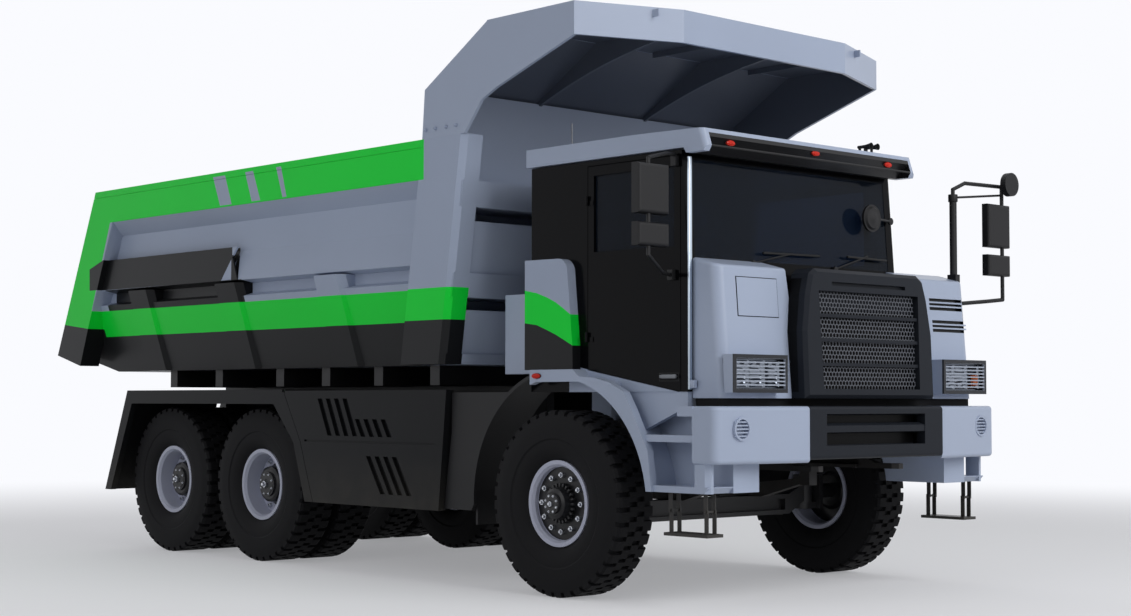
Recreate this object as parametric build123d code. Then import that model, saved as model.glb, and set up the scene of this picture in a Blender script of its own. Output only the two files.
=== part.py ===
# Three-axle mining dump truck with an offset cab, a canopy over the cab and electric drive.
# Millimetres. +Z is up, the truck faces -Y and +X is its left side.
# Sizes are measured from the front axle: y grows towards the tail and z from the ground.
# The finished pieces are moved so that the origin lies under the middle of the truck.
from build123d import *
from math import cos, hypot, pi
import os

os.makedirs("parts", exist_ok=True)

# Overall reach
front_reach = 1690.0
rear_reach = 7340.0
origin_shift = (front_reach - rear_reach) / 2
mirror_reach = 2080.0
run_gap = 0.3
panel_gap = 6.0

# Wheels and tyres
tyre_radius = 684.0
tyre_width = 375.0
rim_radius = 317.0
rim_width = 282.0
front_track_half = 1475.0
rear_outer_half = 1330.0
rear_inner_half = 900.0
rear_axle_y = [4070.0, 5570.0]
wheel_z = tyre_radius

# Front axle and steering
kingpin_x = 1150.0
kingpin_radius = 38.0
kingpin_eye_radius = 85.0
kingpin_eye_half = 85.0
spindle_radius = 60.0
steer_arm_y = 260.0
steer_arm_x = kingpin_x
tie_rod_radius = 25.0

# Frame
rail_x = 450.0
rail_width = 90.0
rail_bottom = 930.0
rail_top = 1280.0
rail_front = -1150.0
rail_rear = 6330.0
bed_pivot_y = 6100.0
bed_pivot_z = 1450.0
bed_pin_radius = 45.0
bed_eye_radius = 120.0

# Load bed
bed_half = 1766.0
bed_floor_z = 1720.0
bed_floor_thick = 130.0
bed_top_z = 3494.0
rail_face_low = 3180.0
bed_front_low = 1163.0
headboard_lean = 0.148
post_depth = 520.0
post_width = 190.0
rear_edge_low = 7340.0
rear_edge_high = 6612.0
tail_rise_y = 6874.0
tail_rise = 168.0
rib_y = [2765.0, 4305.0, 5840.0]
rib_width = 440.0
rib_top_z = 2490.0
rib_bevel = 60.0
flag_y = (4141.0, 6700.0)
flag_z = (2516.0, 2812.0)
rail_joint = 60.0

# Canopy
canopy_front_y = -646.0
canopy_corner_y = -330.0
canopy_bend_x = 945.0
canopy_top_z = bed_top_z + 836.0
canopy_rim_low = canopy_top_z - 246.0
canopy_slope_z = 3884.0
canopy_sheet = 30.0
gusset_x = 600.0

# Cab
cab_right = -1500.0
cab_left = 840.0
cab_front = -1200.0
cab_rear = 420.0
cab_floor_z = 1500.0
cab_top_z = 3190.0
cab_wall = 60.0
screen_low = 2440.0
screen_high = 3130.0
door_front = -1130.0
door_rear = -200.0
door_low_front = 1500.0
door_low_rear = 1665.0
door_high = 3150.0
door_window_low = 2520.0
door_window_high = 3080.0
door_thick = 60.0
roof_low = 3200.0
roof_high = 3335.0
roof_front = -1400.0
roof_rear = 460.0

# Front panels
hood_half = 1450.0
hood_low = 1455.0
hood_front_top = 2377.0
hood_rear_top = 2435.0
hood_front_low_y = -1500.0
hood_front_high_y = -1425.0
hood_rear_y = cab_front - run_gap
hood_corner = 80.0
hood_inner_low = 640.0
hood_inner_high = 735.0
grille_low_half = 750.0
grille_low_y = -1645.0
grille_high_y = -1606.0
grille_top = 2381.0
bumper_low = 1005.0
bumper_high = 1400.0
bumper_half = 1625.0
bumper_centre_half = 775.0
bumper_mid_y = -1690.0
bumper_end_y = -1560.0
bumper_back_y = -1230.0
front_beam_half = 1079.0

# Side bodywork
fender_x = 1625.0
fender_top = 1665.0
fender_sheet = 40.0
arch_radius = 920.0
arch_liner = 35.0
step_low = 805.0
step_high = 1399.0
skirt_x = 1650.0
skirt_depth = 70.0
skirt_low = 573.0
skirt_high = 1520.0
skirt_front = 1250.0

# Hoist cylinders under the bed
hoist_x = 250.0
hoist_foot = (4500.0, 850.0)
hoist_head = (4400.0, 1600.0)
hoist_barrel_radius = 95.0
hoist_tube_wall = 12.0
hoist_pin_radius = 30.0
hoist_eye_half = 45.0


# Shapes

def block(xs, ys, zs):
    size = [abs(pair[1] - pair[0]) for pair in (xs, ys, zs)]
    centre = [(pair[0] + pair[1]) / 2 for pair in (xs, ys, zs)]
    return Pos(*centre) * Box(*size)


def slab_x(outline, x_from, x_to):
    # outline is (y, z)
    face = make_face(Polyline(*outline, close=True))
    return extrude(Plane.YZ.offset(min(x_from, x_to)) * face, amount=abs(x_to - x_from))


def slab_y(outline, y_from, y_to):
    # outline is (x, z)
    face = make_face(Polyline(*outline, close=True))
    base = Plane(origin=(0, max(y_from, y_to), 0), x_dir=(1, 0, 0), z_dir=(0, -1, 0))
    return extrude(base * face, amount=abs(y_to - y_from))


def slab_z(outline, z_from, z_to):
    # outline is (x, y)
    face = make_face(Polyline(*outline, close=True))
    return extrude(Plane.XY.offset(min(z_from, z_to)) * face, amount=abs(z_to - z_from))


def rod(start, end, radius):
    start, end = Vector(*start), Vector(*end)
    base = Plane(origin=start, z_dir=end - start)
    low = (Align.CENTER, Align.CENTER, Align.MIN)
    return base * Cylinder(radius, (end - start).length, align=low)


def bar_x(x_from, x_to, y, z, radius):
    return rod((x_from, y, z), (x_to, y, z), radius)


def turned_x(outline):
    # outline is (x, radius), turned about the X axis
    return revolve(Plane.XZ * make_face(Polyline(*outline, close=True)), Axis.X)


def turned_facets(outline, sides):
    # a flat-sided ring about the X axis; outline is its closed section as (x, radius of the corners)
    rings = [[Vector(x, radius, 0).rotate(Axis.X, 360 * step / sides) for step in range(sides)]
             for x, radius in outline]
    faces = []
    for near, far in zip(rings, rings[1:] + rings[:1]):
        for step in range(sides):
            after = (step + 1) % sides
            corners = [near[step], near[after], far[after], far[step]]
            faces.append(Face(Wire.make_polygon(corners, close=True)))
    return Solid(Shell(faces))


def with_flats_at(radius, sides):
    # the corner radius that puts the flats of a flat-sided ring at the radius
    return radius / cos(pi / sides)


def near_edge(shape, *point):
    return min(shape.edges(), key=lambda edge: (edge.center() - Vector(*point)).length)


def rounded(shape, radius, *points):
    # rounds the edges whose middles lie nearest the points, one after another
    for point in points:
        shape = fillet(near_edge(shape, *point), radius)
    return shape


def other_side(shape):
    return shape.mirror(Plane.YZ)


def both_sides(shape):
    return [shape, other_side(shape)]


def solids_of(shapes):
    found = []
    for shape in shapes:
        found.extend(shape.solids())
    return found


def save(name, *shapes):
    pieces = solids_of(shapes)
    placed = [piece.moved(Location((0, origin_shift, 0))) for piece in pieces]
    made = placed[0] if len(placed) == 1 else Compound(children=placed)
    export_step(made, "parts/" + name + ".step")
    print(name, len(placed), "solids")


# Wheels

lug_count = 28
lug_height = 28.0
lug_share = 0.42
inner_tyre_sides = 18


def tyre_core(crown, sides):
    # crown is the corner radius under the tread; the bore clears the rim
    half = tyre_width / 2
    bore = with_flats_at(rim_radius + run_gap, sides)
    return turned_facets([(-half + 55, bore), (-half, tyre_radius - 190), (-half + 22, crown),
                          (half - 22, crown), (half, tyre_radius - 190), (half - 55, bore)], sides)


def lug_ring():
    # the tread as one toothed slab across the tyre
    base, pitch = tyre_radius - lug_height, 360 / lug_count
    tip = with_flats_at(tyre_radius, lug_count / lug_share)
    outline = []
    for step in range(lug_count):
        middle = step * pitch
        for turn, radius in ((-0.5 * lug_share - 0.04, base), (-0.5 * lug_share, tip),
                             (0.5 * lug_share, tip), (0.5 * lug_share + 0.04, base)):
            outline.append(Vector(0, radius, 0).rotate(Axis.X, middle + turn * pitch))
    half = tyre_width / 2 - 16
    slab = extrude(make_face(Polyline(*outline, close=True)), amount=half, both=True)
    return slab - bar_x(-half - 1, half + 1, 0, 0, base - 60)


def lugged_tyre():
    crown = with_flats_at(tyre_radius - lug_height - 8, lug_count)
    return tyre_core(crown, lug_count) + lug_ring()


def plain_tyre():
    # the inner tyre of a pair, of which only the tread's edge is seen
    return tyre_core(tyre_radius, inner_tyre_sides)


lip_depth = 30.0
rim_sheet = 16.0


def rim_barrel():
    # the dished barrel with its rolled lips
    half = rim_width / 2
    return turned_x([(-half, rim_radius), (-half, rim_radius - lip_depth), (-half + 24, rim_radius - 46),
                     (half - 24, rim_radius - 46), (half, rim_radius - lip_depth), (half, rim_radius)])


def rim(disc_x, bore, hub_reach, hub_radius):
    # disc_x is the disc's place from the rim's middle, positive towards the outside
    disc = turned_x([(disc_x - 40, bore), (disc_x - 40, hub_radius), (disc_x - rim_sheet, hub_radius + 30),
                     (disc_x - rim_sheet, rim_radius - 40), (disc_x + rim_sheet, rim_radius - 40),
                     (disc_x + rim_sheet, hub_radius), (hub_reach - 12, hub_radius - 18),
                     (hub_reach, hub_radius - 40), (hub_reach, 0), (hub_reach - 30, 0),
                     (hub_reach - 30, bore)])
    return rim_barrel() + disc


def wheel_at(shape, x, y):
    return Pos(x, y, wheel_z) * shape


front_disc_x = 70.0
front_hub_reach = 185.0
rear_disc_x = -55.0
rear_hub_reach = 70.0
rear_hub_radius = 175.0

front_bore = spindle_radius + run_gap
rear_spindle_radius = 80.0
rear_bore = rear_spindle_radius + run_gap
front_rim = rim(front_disc_x, front_bore, front_hub_reach, 130)
front_tyre = lugged_tyre()
twin_tyre = plain_tyre()


def rear_wheel_parts():
    outer = Pos(rear_outer_half - rear_inner_half, 0, 0)
    outer_rim = rim(rear_disc_x, rear_bore, rear_hub_reach, rear_hub_radius)
    inner_half = rim_width / 2
    span = rear_outer_half - rear_inner_half + rear_disc_x
    centre = turned_x([(-60, rear_bore), (-60, 210), (inner_half - 40, 210),
                       (inner_half - 40, rim_radius - 40),
                       (inner_half - 12, rim_radius - 40), (inner_half - 12, rear_hub_radius),
                       (span, rear_hub_radius), (span, rear_bore)])
    rims = outer * outer_rim + rim_barrel() + centre
    tyres = [twin_tyre, outer * front_tyre]
    return rims, tyres


rear_rims, rear_tyres = rear_wheel_parts()

for side, sign in (("right", -1), ("left", 1)):
    turn = Rot(0, 0, 180) if sign < 0 else Rot(0, 0, 0)
    save("tyre_front_" + side, wheel_at(turn * front_tyre, sign * front_track_half, 0))
    save("rim_front_" + side, wheel_at(turn * front_rim, sign * front_track_half, 0))
    for place, y in zip(("middle", "rear"), rear_axle_y):
        name = place + "_" + side
        tyres = [wheel_at(turn * shape, sign * rear_inner_half, y) for shape in rear_tyres]
        save("tyres_" + name, *tyres)
        save("rims_" + name, wheel_at(turn * rear_rims, sign * rear_inner_half, y))

# Front axle, knuckles and tie rod

eye = Pos(kingpin_x, 0, wheel_z) * Cylinder(kingpin_eye_radius, 2 * kingpin_eye_half)
eye -= Pos(kingpin_x, 0, wheel_z) * Cylinder(kingpin_radius + run_gap, 4 * kingpin_eye_half)
beam_drop = 90.0
beam_half_depth = 75.0
beam_profile = [(-kingpin_x + 60, wheel_z + 70), (-kingpin_x + 60, wheel_z - 70),
                (-900, wheel_z - 80 - beam_drop), (900, wheel_z - 80 - beam_drop),
                (kingpin_x - 60, wheel_z - 70), (kingpin_x - 60, wheel_z + 70),
                (900, wheel_z + 80 - beam_drop), (-900, wheel_z + 80 - beam_drop)]
beam = slab_y(beam_profile, -beam_half_depth, beam_half_depth)
web_pocket = [(-850, wheel_z + 45 - beam_drop), (-850, wheel_z - 45 - beam_drop),
              (850, wheel_z - 45 - beam_drop), (850, wheel_z + 45 - beam_drop)]
for y_from, y_to in ((-beam_half_depth - 1, -25), (25, beam_half_depth + 1)):
    beam -= slab_y(web_pocket, y_from, y_to)
pin_bores = [Pos(side * kingpin_x, 0, wheel_z) * Cylinder(kingpin_radius + run_gap, 400) for side in (-1, 1)]
front_axle = (beam + eye + other_side(eye)) - pin_bores[0] - pin_bores[1]
save("front_axle", front_axle)


def knuckle():
    lug_low = kingpin_eye_half + run_gap
    lug_thick = 55.0
    plate_x = kingpin_x + kingpin_eye_radius + 15
    parts = [Pos(kingpin_x, 0, wheel_z) * Cylinder(kingpin_radius, 2 * (lug_low + lug_thick))]
    for way in (-1, 1):
        z = (wheel_z + way * lug_low, wheel_z + way * (lug_low + lug_thick))
        mid = (z[0] + z[1]) / 2
        parts.append(Pos(kingpin_x, 0, mid) * Cylinder(70, lug_thick))
        parts.append(block((kingpin_x, plate_x + 40), (-70, 70), z))
    reach = lug_low + lug_thick
    parts.append(block((plate_x, plate_x + 40), (-110, 110), (wheel_z - reach, wheel_z + reach)))
    spindle_end = front_track_half + front_hub_reach - 30 - 2
    parts.append(bar_x(plate_x, spindle_end, 0, wheel_z, spindle_radius))
    arm_z = (wheel_z - lug_low - lug_thick, wheel_z - lug_low - lug_thick + 40)
    arm = slab_z([(kingpin_x - 35, 0), (steer_arm_x - 35, steer_arm_y),
                  (steer_arm_x + 35, steer_arm_y), (kingpin_x + 35, 0)], *arm_z)
    parts.append(arm)
    parts.append(Pos(steer_arm_x, steer_arm_y, (arm_z[0] + arm_z[1]) / 2) * Cylinder(45, 40))
    shape = parts[0]
    for part in parts[1:]:
        shape += part
    bore = Pos(steer_arm_x, steer_arm_y, wheel_z - lug_low) * Cylinder(18 + run_gap, 300)
    return shape - bore, arm_z


left_knuckle, arm_z = knuckle()
save("knuckle_left", left_knuckle)
save("knuckle_right", other_side(left_knuckle))

tie_rod_z = arm_z[0] - 32
tie_rod = bar_x(-steer_arm_x, steer_arm_x, steer_arm_y, tie_rod_z, tie_rod_radius)
for side in (-1, 1):
    tie_rod += Pos(side * steer_arm_x, steer_arm_y, tie_rod_z) * Cylinder(42, 60)
    tie_rod += Pos(side * steer_arm_x, steer_arm_y, tie_rod_z + 45) * Cylinder(18, 90)
save("tie_rod", tie_rod)

# Frame, axle housings and springs

rails = []
flange = 25.0
for side in (-1, 1):
    inner, outer = side * (rail_x - rail_width / 2), side * (rail_x + rail_width / 2)
    rail = block((inner, outer), (rail_front, rail_rear), (rail_bottom, rail_top))
    pocket = block((inner - side, outer - side * flange), (rail_front - 1, rail_rear + 1),
                   (rail_bottom + flange, rail_top - flange))
    rails.append(rail - pocket)
save("frame_rails", *rails)

rail_web = rail_x + rail_width / 2 - flange
cross_radius = 70.0
cross_z = (rail_bottom + rail_top) / 2
cross_y = [-900.0, 700.0, 1800.0, 2600.0, 4820.0, 5820.0]
cross_members = [bar_x(-rail_web, rail_web, y, cross_z, cross_radius) for y in cross_y]
front_beam_ys = (bumper_back_y + run_gap, rail_front - run_gap)
front_beam = block((-front_beam_half, front_beam_half), front_beam_ys, (1050, 1350))
tow_eye_radius = 25.0
tow_eye_y = -1480.0
tow_eye_z = (930.0, 970.0)
for side in (-1, 1):
    arm = slab_x([(rail_front - run_gap, tow_eye_z[0]), (rail_front - run_gap, 1060), (-1229, 1060),
                  (-1229, 1000), (-1330, tow_eye_z[1]), (-1330, tow_eye_z[0])], side * 440, side * 500)
    tongue = slab_z([(side * 420, -1300), (side * 420, tow_eye_y), (side * 445, tow_eye_y - 50),
                     (side * 495, tow_eye_y - 50), (side * 520, tow_eye_y), (side * 520, -1300)], *tow_eye_z)
    tow_bore = Pos(side * rail_x + side * 20, tow_eye_y, tow_eye_z[0]) * Cylinder(tow_eye_radius, 400)
    front_beam += (arm + tongue) - tow_bore
foot_y, foot_z = hoist_foot
hanger_x = rail_x - rail_width / 2 - run_gap
hoist_cross = bar_x(-hanger_x, hanger_x, foot_y, foot_z, hoist_pin_radius)
for side in (-1, 1):
    hanger = slab_x([(foot_y - 110, rail_bottom + 190), (foot_y - 70, foot_z - 50), (foot_y + 70, foot_z - 50),
                     (foot_y + 110, rail_bottom + 190)], side * hanger_x, side * (hanger_x - 25))
    hoist_cross += hanger
cab_mounts = []
for x in (-rail_x, rail_x):
    for y in (-900, 250):
        cab_mounts.append(block((x - 60, x + 60), (y - 70, y + 70), (rail_top, cab_floor_z)))
tail_bar_half, tail_bar_z = 630.0, (980.0, 1110.0)
tail_bar = block((-tail_bar_half, tail_bar_half), (rail_rear + run_gap, rail_rear + 12), tail_bar_z)
for side in (-1, 1):
    tail_bar += block((side * 500, side * (tail_bar_half - 15)), (rail_rear + 10, rail_rear + 70),
                      (tail_bar_z[0] + 15, tail_bar_z[1] - 15))
save("cross_members", *cross_members, front_beam, hoist_cross, *cab_mounts, tail_bar)

axle_tube_radius = 110.0
housings = []
for y in rear_axle_y:
    tube_end = rear_inner_half - 66
    housing = bar_x(-tube_end, tube_end, y, wheel_z, axle_tube_radius)
    spindle_end = rear_outer_half + rear_hub_reach - 30 - 2
    housing += bar_x(-spindle_end, spindle_end, y, wheel_z, rear_spindle_radius)
    housing += Pos(0, y, wheel_z) * Rot(90, 0, 0) * Cylinder(235, 260)
    housing += Pos(0, y - 200, wheel_z) * Rot(90, 0, 0) * Cylinder(110, 240)
    housings.append(housing)
save("rear_axle_housings", *housings)

spring_x = 450.0
front_spring_half = 650.0
spring_width = 90.0
axle_seat_z = wheel_z + 80 - beam_drop
front_spring = []
hanger_z = rail_bottom
for side in (-1, 1):
    xs = (side * spring_x - spring_width / 2, side * spring_x + spring_width / 2)
    leafs = [(-front_spring_half, hanger_z - 90), (-front_spring_half, hanger_z - 130),
             (-200, axle_seat_z), (200, axle_seat_z), (front_spring_half, hanger_z - 130),
             (front_spring_half, hanger_z - 90), (120, axle_seat_z + 110), (-120, axle_seat_z + 110)]
    spring = slab_x(leafs, *xs)
    for y in (-front_spring_half, front_spring_half):
        spring += block(xs, (y - 50, y + 50), (hanger_z - 150, hanger_z))
    front_spring.append(spring)
save("front_springs", *front_spring)

trunnion_y = (rear_axle_y[0] + rear_axle_y[1]) / 2
rear_seat_z = wheel_z + axle_tube_radius
rear_spring = []
for side in (-1, 1):
    xs = (side * spring_x - spring_width / 2, side * spring_x + spring_width / 2)
    leafs = [(rear_axle_y[0] - 110, rear_seat_z), (rear_axle_y[0] + 110, rear_seat_z),
             (trunnion_y - 120, rear_seat_z - 40), (trunnion_y + 120, rear_seat_z - 40),
             (rear_axle_y[1] - 110, rear_seat_z), (rear_axle_y[1] + 110, rear_seat_z),
             (trunnion_y + 200, rear_seat_z + 130), (trunnion_y - 200, rear_seat_z + 130)]
    spring = slab_x(leafs, *xs)
    saddle = block(xs, (trunnion_y - 130, trunnion_y + 130), (rear_seat_z - 100, rail_bottom))
    rear_spring.append(spring + saddle)
save("rear_springs", *rear_spring)

motor_z = 800.0
motor_radius = 225.0
gearbox_top = cross_z - cross_radius - run_gap
motor = bar_x(-230, 230, 2200, motor_z, motor_radius) + block((-200, 200), (1750, 2650), (680, gearbox_top))
save("drive_motor", motor)
shaft_start = (0, 2640, 840)
shafts = [rod(shaft_start, (0, rear_axle_y[0] - 310, wheel_z), 50),
          rod((0, rear_axle_y[0] + 120, wheel_z), (0, rear_axle_y[1] - 310, wheel_z), 50)]
shafts = [shaft - motor - housings[0] - housings[1] for shaft in shafts]
save("prop_shafts", *shafts)

battery_in = rail_x + rail_width / 2 + run_gap
battery_out = skirt_x - skirt_depth - run_gap
battery = block((battery_in, battery_out), (skirt_front + 100, 2950), (620, 1450))
save("battery_packs", *both_sides(battery))

# Bed


def post_front_y(z):
    return bed_front_low - (z - bed_floor_z) * headboard_lean


def wall_section():
    # (inset from the side, z): the outer line from the top rail down, then the inner face up again
    outer = [(0, bed_top_z), (0, rail_face_low), (146, 3050), (146, 2780), (66, 2512),
             (186, 2490), (186, 2400), (91, 2370), (306, bed_floor_z)]
    inner = [(416, bed_floor_z), (416, 1850), (276, 2450), (156, bed_top_z)]
    return [(bed_half - inset, z) for inset, z in outer + inner]


def tail_cut(x_from, x_to):
    # everything behind the slanting rear edge
    slant = (rear_edge_low - rear_edge_high) / (bed_top_z - bed_floor_z - tail_rise)
    high = bed_top_z + 100
    return slab_x([(rear_edge_high - slant * 100, high), (rear_edge_low, bed_floor_z + tail_rise),
                   (tail_rise_y, bed_floor_z + 56), (tail_rise_y - 230, bed_floor_z - 1),
                   (tail_rise_y, bed_floor_z - 200), (8200, bed_floor_z - 200), (8200, high)], x_from, x_to)


def rib(y):
    # narrower at its foot, with bevelled edges down both sides
    half = rib_width / 2

    def plan(back, face_x):
        return [(back, y - half), (face_x - rib_bevel, y - half), (face_x, y - half + rib_bevel),
                (face_x, y + half - rib_bevel), (face_x - rib_bevel, y + half), (back, y + half)]

    # height, then how far the back and the face lie in from the side
    ends = [(bed_floor_z, 360, 266), (rib_top_z, 230, 28)]
    faces = [Plane.XY.offset(z) * make_face(Polyline(*plan(bed_half - back, bed_half - face), close=True))
             for z, back, face in ends]
    return loft(faces, ruled=True)


def flag_plate():
    # the plate that stands on the ledge, with its two stand-offs
    (y_from, y_to), (z_low, z_high) = flag_y, flag_z
    outline = [(y_to, z_low), (y_to, z_high - 80), (y_to - 258, z_high), (y_from, z_high),
               (y_from + 83, z_high - 92), (y_from, z_low)]
    plate = slab_x(outline, bed_half - 76, bed_half - 60)
    for y in (y_from + 600, y_to - 700):
        plate += block((bed_half - 150, bed_half - 70), (y - 40, y + 40), (z_high - 100, z_high - 40))
    return plate


def side_wall():
    rear_of_post = post_front_y(bed_top_z) + post_depth
    wall = slab_y(wall_section(), rear_of_post, rear_edge_low)
    wall -= tail_cut(1000, 2000)
    wall -= slab_x([(0, 1500), (post_front_y(1500) + post_depth, 1500),
                    (post_front_y(3600) + post_depth, 3600), (0, 3600)], 1000, 2000)
    wall += slab_x([(rear_edge_high, bed_top_z), (rear_edge_low, bed_floor_z + tail_rise),
                    (tail_rise_y, bed_floor_z + 56), (6727, 2146), (6270, rail_face_low),
                    (6270, bed_top_z)], bed_half, bed_half - 206)
    joint_z = bed_top_z - rail_joint
    wall -= block((bed_half - 6, bed_half + 1), (rear_of_post, 7000), (joint_z - 6, joint_z))
    for y in rib_y:
        wall += rib(y)
    return wall + flag_plate()


bed_sides = both_sides(side_wall())
save("bed_sides", *bed_sides)

floor_half = bed_half - 416
floor_front = post_front_y(bed_floor_z) + post_depth
floor = slab_x([(floor_front, bed_floor_z), (tail_rise_y - 230, bed_floor_z), (tail_rise_y, bed_floor_z + 56),
                (rear_edge_low - 20, bed_floor_z + tail_rise - 10), (rear_edge_low - 60, 2010),
                (5900, bed_floor_z + bed_floor_thick), (floor_front, bed_floor_z + bed_floor_thick)],
               -floor_half, floor_half)
save("bed_floor", floor)


post_bevel = 45.0


def front_post():
    def section(z):
        front, back = post_front_y(z), post_front_y(z) + post_depth
        plan = [(bed_half, back), (bed_half - post_width, back), (bed_half - post_width, front),
                (bed_half - post_bevel, front), (bed_half, front + post_bevel)]
        return Plane.XY.offset(z) * make_face(Polyline(*plan, close=True))

    return loft([section(bed_floor_z), section(bed_top_z)], ruled=True)


def headboard():
    sheet_thick = 60.0

    def back(z):
        return post_front_y(z) + post_depth

    low_back, high_back = back(bed_floor_z), back(canopy_slope_z)
    shape = slab_x([(low_back - sheet_thick, bed_floor_z), (low_back, bed_floor_z),
                    (high_back, canopy_slope_z),
                    (high_back - sheet_thick, canopy_slope_z)], -bed_half + 25, bed_half - 25)
    for low, high in ((2940, 3140), (2240, 2430), (bed_floor_z, 1800)):
        shape += slab_x([(post_front_y(low), low), (back(low) - 5, low), (back(high) - 5, high),
                         (post_front_y(high), high)], -bed_half + 30, bed_half - 30)
    for post in both_sides(front_post()):
        shape += post
    return shape


save("headboard", headboard())


def arched_gusset():
    # a plate under the roof whose lower edge is one arc from the front wall to the front rim
    root, crown = (1345, canopy_slope_z - 30), (430, canopy_top_z - 190)
    tip = (canopy_front_y + 40, canopy_top_z - 60)
    edge = ThreePointArc(root, crown, tip)
    roof_line = Polyline(tip, (tip[0], canopy_top_z - 8), (628, canopy_top_z - 8),
                         (root[0], canopy_slope_z), root)
    return extrude(Plane.YZ.offset(gusset_x) * make_face(edge + roof_line), amount=30)


def canopy():
    half = bed_half - 1
    rear_low = (post_front_y(bed_top_z) + post_depth, bed_top_z + run_gap)
    front_low = (post_front_y(bed_top_z), bed_top_z + run_gap)
    rear_high, crest = (1391, canopy_slope_z), (628, canopy_top_z)
    cheek = slab_x([rear_low, rear_high, crest, (canopy_corner_y, canopy_top_z),
                    (canopy_corner_y, canopy_rim_low), (542, canopy_slope_z - 85), (702, canopy_slope_z - 156),
                    front_low], bed_half, bed_half - canopy_sheet)
    corners = [(half, canopy_corner_y), (canopy_bend_x, canopy_front_y), (-canopy_bend_x, canopy_front_y),
               (-half, canopy_corner_y)]
    shape = slab_z([(half, 640)] + corners + [(-half, 640)], canopy_top_z - canopy_sheet, canopy_top_z)
    shape += slab_x([rear_high, crest, (crest[0], crest[1] - 34), (rear_high[0] - 51, rear_high[1])],
                    -half, half)
    for start, end in zip(corners, corners[1:]):
        shape += slab_z([start, end, (end[0], end[1] + 35), (start[0], start[1] + 35)],
                        canopy_rim_low, canopy_top_z)
    for x in (-1180, 0, 1180):
        shape += block((x - 6, x + 6), (canopy_front_y + 30, 600), (canopy_top_z - 75, canopy_top_z - 20))
    for piece in both_sides(cheek) + both_sides(arched_gusset()):
        shape += piece
    return shape


save("canopy", canopy() - headboard())

bed_beam_low = rail_top + run_gap
bed_beam_half = rail_width / 2 - panel_gap
bed_beams = []
for side in (-1, 1):
    xs = (side * (rail_x - bed_beam_half), side * (rail_x + bed_beam_half))
    outline = [(1350, bed_floor_z), (1350, bed_beam_low + 60), (1450, bed_beam_low),
               (bed_pivot_y - 160, bed_beam_low), (bed_pivot_y, bed_pivot_z - bed_eye_radius + 5),
               (bed_pivot_y + bed_eye_radius - 10, bed_pivot_z), (bed_pivot_y + 110, bed_floor_z)]
    long_beam = slab_x(outline, *xs) + bar_x(*xs, bed_pivot_y, bed_pivot_z, bed_eye_radius)
    bed_beams.append(long_beam)
subframe = bed_beams[0] + bed_beams[1]
for y in (1700, 2450, 3200, 3900, 4900, 5700):
    subframe += block((-bed_half + 366, bed_half - 366), (y - 60, y + 60), (1560, bed_floor_z))
ear_thick = 30.0
ear_gap = 66.0
head_eye_radius = 80.0
head_eye_clear = 22.0
for side in (-1, 1):
    for way in (-1, 1):
        near = side * hoist_x + way * ear_gap
        ear = slab_x([(hoist_head[0] - 150, bed_floor_z), (hoist_head[0] - 60, hoist_head[1] - 50),
                      (hoist_head[0] + 60, hoist_head[1] - 50), (hoist_head[0] + 150, bed_floor_z)],
                     near, near + way * ear_thick)
        subframe += ear
    subframe += bar_x(side * hoist_x - ear_gap - ear_thick - 8, side * hoist_x + ear_gap + ear_thick + 8,
                      hoist_head[0], hoist_head[1], hoist_pin_radius)
pivot_bore = bar_x(-1000, 1000, bed_pivot_y, bed_pivot_z, bed_pin_radius + run_gap)
subframe -= pivot_bore
save("bed_subframe", subframe)

pivot_brackets = []
ear_plate = 35.0
for side in (-1, 1):
    near = side * (rail_x - rail_width / 2 - run_gap)
    far = side * (rail_x + rail_width / 2 + run_gap)
    outline = [(bed_pivot_y - 200, rail_bottom + 150), (bed_pivot_y - 200, rail_top),
               (bed_pivot_y - 80, bed_pivot_z + 70), (bed_pivot_y + 80, bed_pivot_z + 70),
               (bed_pivot_y + 200, rail_top), (bed_pivot_y + 200, rail_bottom + 150)]
    ears = slab_x(outline, near, near - side * ear_plate) + slab_x(outline, far, far + side * ear_plate)
    pin = bar_x(near - side * (ear_plate + 10), far + side * (ear_plate + 10), bed_pivot_y, bed_pivot_z,
                bed_pin_radius)
    pivot_brackets.append(ears + pin)
save("bed_pivots", *pivot_brackets)

# Hoist

head_y, head_z = hoist_head
hoist_length = hypot(head_y - foot_y, head_z - foot_z)
along = ((head_y - foot_y) / hoist_length, (head_z - foot_z) / hoist_length)


def on_hoist(x, distance):
    return (x, foot_y + along[0] * distance, foot_z + along[1] * distance)


eye_radius = 75.0
barrel_start, barrel_end = 85.0, hoist_length - 100.0
tube_step = 12.0
stage_radii = [hoist_barrel_radius - step * (hoist_tube_wall + run_gap) for step in range(4)]


def hoist_tube(x, step):
    # step 0 is the barrel, 1 and 2 the stages and 3 the rod, each inside the one before
    start = barrel_start + step * (tube_step + run_gap)
    end = barrel_end + step * tube_step
    tube = rod(on_hoist(x, start), on_hoist(x, end), stage_radii[step])
    if step < 3:
        tube -= rod(on_hoist(x, start + tube_step), on_hoist(x, end + 1), stage_radii[step + 1] + run_gap)
    return tube


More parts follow.
